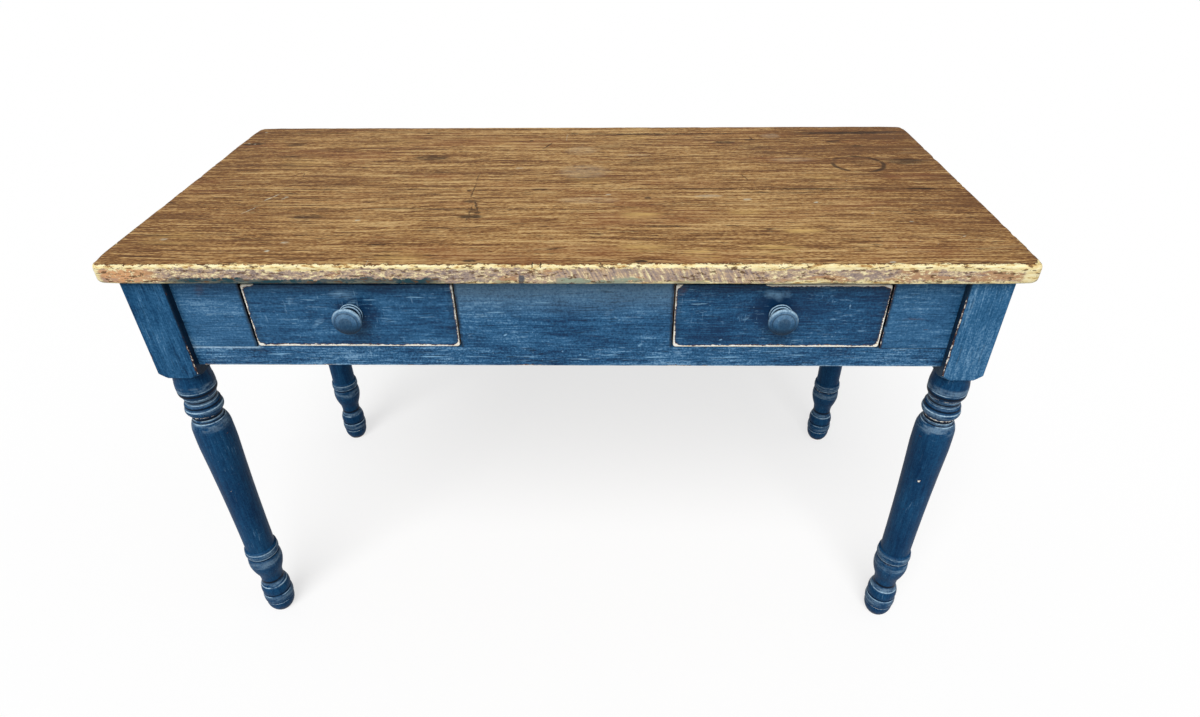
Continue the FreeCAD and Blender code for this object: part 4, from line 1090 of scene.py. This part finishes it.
def add_marks(g, colour, height, cloud, low, high, seed):
    """The stains, knocks, scratches and paint spots of the upper face, and soft grey patches of painted sheen."""
    close = g.shaken(9 * MM, 2.6 * MM, seed)
    yellow = g.times(marks(g, g.shaken(30 * MM, 14 * MM, seed + 1), YELLOW_MARKS, low, high, soft=0.9),
                     g.ramp(g.noise((6, 190, 190), 4.0, 0.7, seed + 2), 0.42, 0.56))
    colour = g.blend(g.times(yellow, 0.85), colour, rgb(222, 184, 112))
    ragged = g.noise((60, 300, 300), 3.0, 0.65, seed + 3)
    dark = g.times(marks(g, close, DARK_MARKS, low, high), g.ramp(ragged, 0.34, 0.54, 0.3, 1.0))
    x, y, length, width = (value * MM for value in RING_STAIN)
    ring = g.oval(close, x, y, length, width)
    line = g.ramp(g.math("ABSOLUTE", g.minus(ring, 1.0)), 0.13, 0.04)
    line = g.times(line, g.ramp(g.noise(26, 2.0, 0.5, seed + 4), 0.38, 0.52, 0.25, 0.8))
    core = g.times(g.ramp(ring, 0.6, 0.1), g.ramp(ragged, 0.45, 0.6), 0.5)
    dark = g.most(dark, line, core)
    knocks = g.times(g.specks(22 * MM, 1.5 * MM, 0.3, seed, close), 0.65)
    worm = g.specks(7 * MM, 0.9 * MM, 0.55, seed + 1)
    zone = g.ramp(g.oval(close, 293 * MM, -175 * MM, 76 * MM, 52 * MM, 25), 1.1, 0.7)
    dark = g.most(dark, knocks, g.times(worm, zone, 0.85))
    colour = g.blend(dark, colour, rgb(52, 34, 20))

    pale = marks(g, close, PALE_MARKS_AND_SHEEN, low, high)
    pale = g.times(pale, g.ramp(ragged, 0.40, 0.52, 0.35, 1.0))
    spots = g.specks(10 * MM, 1.0 * MM, 0.24, seed + 2, close)
    spots = g.times(spots, g.ramp(g.noise(9, 2.0, 0.5, seed + 7), 0.42, 0.58), g.ramp(g.axes[X], -0.2, 0.4, 0.4, 0.9))
    colour = g.blend(g.most(pale, spots), colour, PALE_GREY_AND_SHEEN)
    for turn, number in ((20, 8), (-35, 9), (75, 10)):
        inputs = {"Vector": g.place, "Rotation": (0, 0, math.radians(turn)), "Scale": (9, 700, 9)}
        lines = g.add("ShaderNodeTexNoise", {"Vector": g.add("ShaderNodeMapping", inputs), "Scale": 1.0, "Detail": 1.0})
        scratch = g.times(g.ramp(lines, 0.68, 0.74), g.ramp(cloud, 0.5, 0.6), 0.5)
        colour = g.blend(scratch, colour, rgb(206, 176, 130))
    return colour, g.minus(height, g.times(dark, 0.6))


def worn_edge(g, colour, height, seed):
    """Bare cream wood along the arrises, the remains of old paint on the edge's face, and a dark teal along the lower
    arris that is old paint and painted shade.
    """
    fall = g.add("ShaderNodeAttribute", out="Fac", attribute_name="edge_fall", attribute_type="GEOMETRY")
    crack = g.add("ShaderNodeAttribute", out="Fac", attribute_name="crack", attribute_type="GEOMETRY")
    teeth = g.minus(g.noise((110, 110, 160), 4.0, 0.7, seed), 0.5)
    slow = g.minus(g.noise((14, 14, 14), 3.0, 0.6, seed + 1), 0.5)
    level = g.sum(fall, g.times(teeth, 14 * MM), g.times(slow, 14 * MM))
    close_level = g.sum(fall, g.times(teeth, 22 * MM))

    flake = g.noise((130, 130, 330), 4.0, 0.76, seed + 2)
    cream = g.tones(g.noise((60, 120, 260), 4.0, 0.7, seed + 3), (0.36, CREAM_BROWN), (0.44, CREAM),
                    (0.58, CREAM_PALE))
    hatch_place = g.add("ShaderNodeMapping", {"Vector": g.place, "Rotation": (0, math.radians(26), 0)})
    hatch = g.noise((300, 300, 50), 3.0, 0.65, seed + 4, hatch_place)
    hatched = g.times(g.ramp(g.axes[X], -40 * MM, 20 * MM), g.ramp(g.axes[X], 300 * MM, 240 * MM))
    scraped = g.sum(g.times(flake, g.ramp(hatched, 0.0, 1.0, 1.0, 0.35)), g.times(hatch, g.times(hatched, 0.65)))
    old = g.tones(scraped, (0.34, OLD_PAINT_DARK), (0.41, OLD_PAINT_MAUVE), (0.48, OLD_PAINT_PINK),
                  (0.55, OLD_PAINT_TAN), (0.60, CREAM_PALE))
    patch = g.noise((16, 16, 50), 3.0, 0.6, seed + 5)
    at_right = g.ramp(g.axes[X], 260 * MM, 360 * MM)
    right_low = g.times(at_right, g.ramp(fall, 12 * MM, 15 * MM), 0.35)
    left_end = g.ramp(g.axes[X], -536 * MM, -580 * MM, 0.0, 0.5)
    orange = g.ramp(g.sum(patch, g.times(right_low, 0.3), g.times(left_end, 0.4)), 0.54, 0.64, 0.0, 0.7)
    old = g.blend(g.times(orange, g.ramp(flake, 0.62, 0.54)), old, OLD_PAINT_ORANGE)
    old = g.blend(g.times(left_end, g.ramp(flake, 0.62, 0.50, 0.0, 1.8)), old, OLD_PAINT_PEACH)
    mauve = g.ramp(patch, 0.46, 0.36, 0.0, 0.6)
    old = g.blend(g.times(mauve, g.ramp(flake, 0.60, 0.50)), old, OLD_PAINT_MAUVE)

    front_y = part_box("top_front_board")[0].y
    near_front = g.ramp(g.axes[Y], front_y + 22 * MM, front_y + 9 * MM)
    to_right = g.ramp(g.axes[X], -100 * MM, 300 * MM)
    start = g.ramp(g.times(near_front, g.ramp(to_right, 0.0, 1.0, 0.5, 1.0)), 0.0, 1.0, -1.0 * MM, -5.6 * MM)
    far_end = g.ramp(g.axes[Y], front_y + 60 * MM, front_y + 240 * MM)
    start = g.sum(start, g.times(far_end, 4 * MM))
    joint_y = frame_joint()
    off_joint = g.ramp(g.math("ABSOLUTE", g.minus(g.axes[Y], joint_y)), 10 * MM, 14 * MM)
    at_end = g.ramp(g.math("ABSOLUTE", g.axes[X]), 616 * MM, 626 * MM)
    inside = g.minus(close_level, start)
    chipped = g.ramp(g.noise((70, 130, 130), 3.0, 0.7, seed + 9), 0.42, 0.50, 0.0, 0.95)
    fringe = g.times(g.ramp(inside, -4.0 * MM, -0.8 * MM), g.most(off_joint, at_end), chipped)
    colour = g.blend(fringe, colour, rgb(84, 54, 30))
    upper = g.times(g.ramp(inside, -0.5 * MM, 0.5 * MM), g.most(off_joint, at_end))
    colour = g.blend(upper, colour, cream)
    low_edge = g.ramp(g.times(near_front, g.ramp(at_right, 0.0, 1.0, 0.6, 1.0)), 0.0, 1.0, 25 * MM, 21.4 * MM)
    start_low = g.ramp(at_right, 0.0, 1.0, 3.4 * MM, 5.4 * MM)
    band = g.times(g.ramp(g.minus(level, start_low), 0.0, 0.8 * MM),
                   g.ramp(g.minus(level, low_edge), 0.5 * MM, -0.5 * MM))
    near_corner = g.most(g.ramp(g.axes[X], 596 * MM, 614 * MM), g.ramp(g.axes[X], -612 * MM, -626 * MM))
    near_corner = g.times(near_corner, g.ramp(g.axes[Y], front_y + 120 * MM, front_y + 30 * MM))
    band = g.times(band, g.ramp(g.sum(near_corner, g.minus(flake, 0.5)), 0.3, 0.9, 1.0, 0.0))
    old = g.blend(g.times(far_end, g.ramp(flake, 0.42, 0.56, 0.85, 0.35)), old, END_GRAIN)
    back_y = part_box("top_back_board")[1].y
    at_back = g.ramp(g.axes[Y], back_y - 9 * MM, back_y - 4 * MM)
    long_grain = g.noise((7, 40, 420), 4.0, 0.72, seed + 8)
    side_grain = g.tones(long_grain, (0.34, PINE_DARK), (0.46, PINE_BROWN), (0.58, PINE_MID), (0.68, PINE_LIGHT))
    old = g.blend(at_back, old, side_grain)
    colour = g.blend(band, colour, old)
    # Dark teal along the lower arris: remnants of old teal paint, darkened further as painted shade under the edge.
    remnants = g.ramp(g.noise((30, 30, 120), 4.0, 0.68, seed + 6), 0.45, 0.53)
    zone = g.times(g.ramp(g.axes[X], -560 * MM, -510 * MM), g.ramp(g.axes[X], -130 * MM, -190 * MM), near_front)
    low_band = g.ramp(g.minus(level, g.ramp(zone, 0.0, 1.0, 22 * MM, 16.4 * MM)), 0.0, 1.6 * MM)
    teal_and_shade = g.times(low_band, g.most(g.times(remnants, 0.5), g.times(zone, g.ramp(remnants, 0.0, 1.0, 0.85, 1.0))))
    colour = g.blend(teal_and_shade, colour, TEAL_PAINT_AND_SHADE)
    green_zone = g.ramp(g.oval(g.place, 50 * MM, front_y, 130 * MM, 60 * MM), 1.1, 0.7)
    colour = g.blend(g.times(g.ramp(level, 15 * MM, 18 * MM), green_zone, remnants), colour, GREY_GREEN)
    blob = g.ramp(g.oval(g.shaken(5 * MM, 3.2 * MM, seed), -54 * MM, front_y, 9 * MM, 40 * MM), 1.1, 0.6)
    colour = g.blend(g.times(blob, g.ramp(level, 10 * MM, 14 * MM), 0.85), colour, rgb(48, 62, 84))
    dirt = g.ramp(g.noise((80, 90, 240), 3.0, 0.7, seed + 7), 0.565, 0.62)
    dirt = g.times(dirt, g.ramp(g.minus(fall, start), 0.0, 2 * MM), g.ramp(far_end, 0.0, 1.0, 0.9, 0.5))
    colour = g.blend(dirt, colour, rgb(98, 70, 44))
    under = g.ramp(fall, 33 * MM, 36 * MM)
    colour = g.blend(under, colour, g.tones(flake, (0.35, rgb(128, 94, 58)), (0.6, rgb(176, 138, 92))))
    colour = g.blend(g.ramp(crack, 0.15, 0.75, 0.0, 0.9), colour, rgb(40, 26, 16))
    height = g.sum(height, g.times(band, g.sum(scraped, 0.3)), g.times(teeth, upper, 1.5))
    return colour, height, g.most(upper, crack)


def top_material(name, low, high, seed):
    g = Graph(name)
    colour, height, streak, fine, cloud = pine_face(g, seed)
    colour, height = add_marks(g, colour, height, cloud, low, high, seed)
    colour, height, edge = worn_edge(g, colour, height, seed)
    roughness = g.ramp(g.sum(streak, g.times(cloud, 0.7), g.times(fine, 0.5)), 0.8, 1.4, 0.38, 0.58)
    roughness = g.ramp(edge, 0.0, 1.0, roughness, 0.65)
    return g.finish(colour, roughness, height, 0.35 * MM, specular=0.3)


def make_top():
    for name, node, joint_side, cracks, seed in (
        ("scrubbed_front_board", "top_front_board", 1, FRONT_CRACKS, 5),
        ("scrubbed_back_board", "top_back_board", -1, BACK_CRACKS, 8),
    ):
        board = Board(name, node, joint_side, cracks, seed)
        thing = bpy.data.objects.new(name, board.build())
        thing.data.materials.append(top_material(f"{name}_pine", board.low, board.high, seed))
        bpy.context.scene.collection.objects.link(thing)
        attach(thing, "table")
        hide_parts(node)


# ---------------------------------------------------------------- stage and light

FLOOR_HALF = 14.0
FLOOR_GLOW = 0.66
FLOOR_SHADE = 0.36
FLOOR_BOUNCE = 0.42
WORLD_LIGHT = 0.32


def seen_white(tree, seen, unseen, result):
    """Shows one shader to the camera and to reflections, and the other to all other light."""
    path = tree.nodes.new("ShaderNodeLightPath")
    either = tree.nodes.new("ShaderNodeMath")
    either.operation = "MAXIMUM"
    tree.links.new(path.outputs["Is Camera Ray"], either.inputs[0])
    tree.links.new(path.outputs["Is Glossy Ray"], either.inputs[1])
    mix = tree.nodes.new("ShaderNodeMixShader")
    tree.links.new(either.outputs[0], mix.inputs[0])
    tree.links.new(unseen, mix.inputs[1])
    tree.links.new(seen, mix.inputs[2])
    tree.links.new(mix.outputs[0], result)


def make_floor():
    half = FLOOR_HALF
    mesh = bpy.data.meshes.new("floor")
    mesh.from_pydata([(-half, -half, 0), (half, -half, 0), (half, half, 0), (-half, half, 0)], [], [(0, 1, 2, 3)])
    floor = bpy.data.objects.new("floor", mesh)
    bpy.context.scene.collection.objects.link(floor)
    material = bpy.data.materials.new("pale_floor")
    material.use_nodes = True
    tree = material.node_tree
    tree.nodes.clear()
    bounce = tree.nodes.new("ShaderNodeBsdfDiffuse")
    bounce.inputs[0].default_value = (FLOOR_BOUNCE,) * 3 + (1,)
    shade = tree.nodes.new("ShaderNodeBsdfDiffuse")
    shade.inputs[0].default_value = (FLOOR_SHADE,) * 3 + (1,)
    glow = tree.nodes.new("ShaderNodeEmission")
    glow.inputs["Strength"].default_value = FLOOR_GLOW
    both = tree.nodes.new("ShaderNodeAddShader")
    tree.links.new(shade.outputs[0], both.inputs[0])
    tree.links.new(glow.outputs[0], both.inputs[1])
    output = tree.nodes.new("ShaderNodeOutputMaterial")
    seen_white(tree, both.outputs[0], bounce.outputs[0], output.inputs["Surface"])
    mesh.materials.append(material)


def make_world():
    world = bpy.data.worlds.new("studio")
    world.use_nodes = True
    tree = world.node_tree
    tree.nodes.clear()
    white = tree.nodes.new("ShaderNodeBackground")
    white.inputs["Color"].default_value = (1, 1, 1, 1)
    soft = tree.nodes.new("ShaderNodeBackground")
    soft.inputs["Strength"].default_value = WORLD_LIGHT
    output = tree.nodes.new("ShaderNodeOutputWorld")
    path = tree.nodes.new("ShaderNodeLightPath")
    mix = tree.nodes.new("ShaderNodeMixShader")
    tree.links.new(path.outputs["Is Camera Ray"], mix.inputs[0])
    tree.links.new(soft.outputs[0], mix.inputs[1])
    tree.links.new(white.outputs[0], mix.inputs[2])
    tree.links.new(mix.outputs[0], output.inputs["Surface"])
    bpy.context.scene.world = world


# Broad lamps far away, as (name, direction they stand in, light on a surface that faces them, softness).
LAMPS = (
    ("key", (-0.2, -0.95, 1.15), 0.84, 42),
    ("fill", (0.9, -0.5, 0.7), 0.08, 80),
)


def make_lamps():
    for name, direction, light, softness in LAMPS:
        lamp = bpy.data.objects.new(name, bpy.data.lights.new(name, "SUN"))
        lamp.data.energy = light * math.pi
        lamp.data.angle = math.radians(softness)
        lamp.rotation_euler = Vector(direction).to_track_quat("Z", "Y").to_euler()
        bpy.context.scene.collection.objects.link(lamp)


# ---------------------------------------------------------------- the scene

make_camera()
make_floor()
make_world()
make_lamps()
make_top()
dress_frame()
dress_legs()
dress_drawers()
bpy.context.scene.view_settings.view_transform = "Standard"
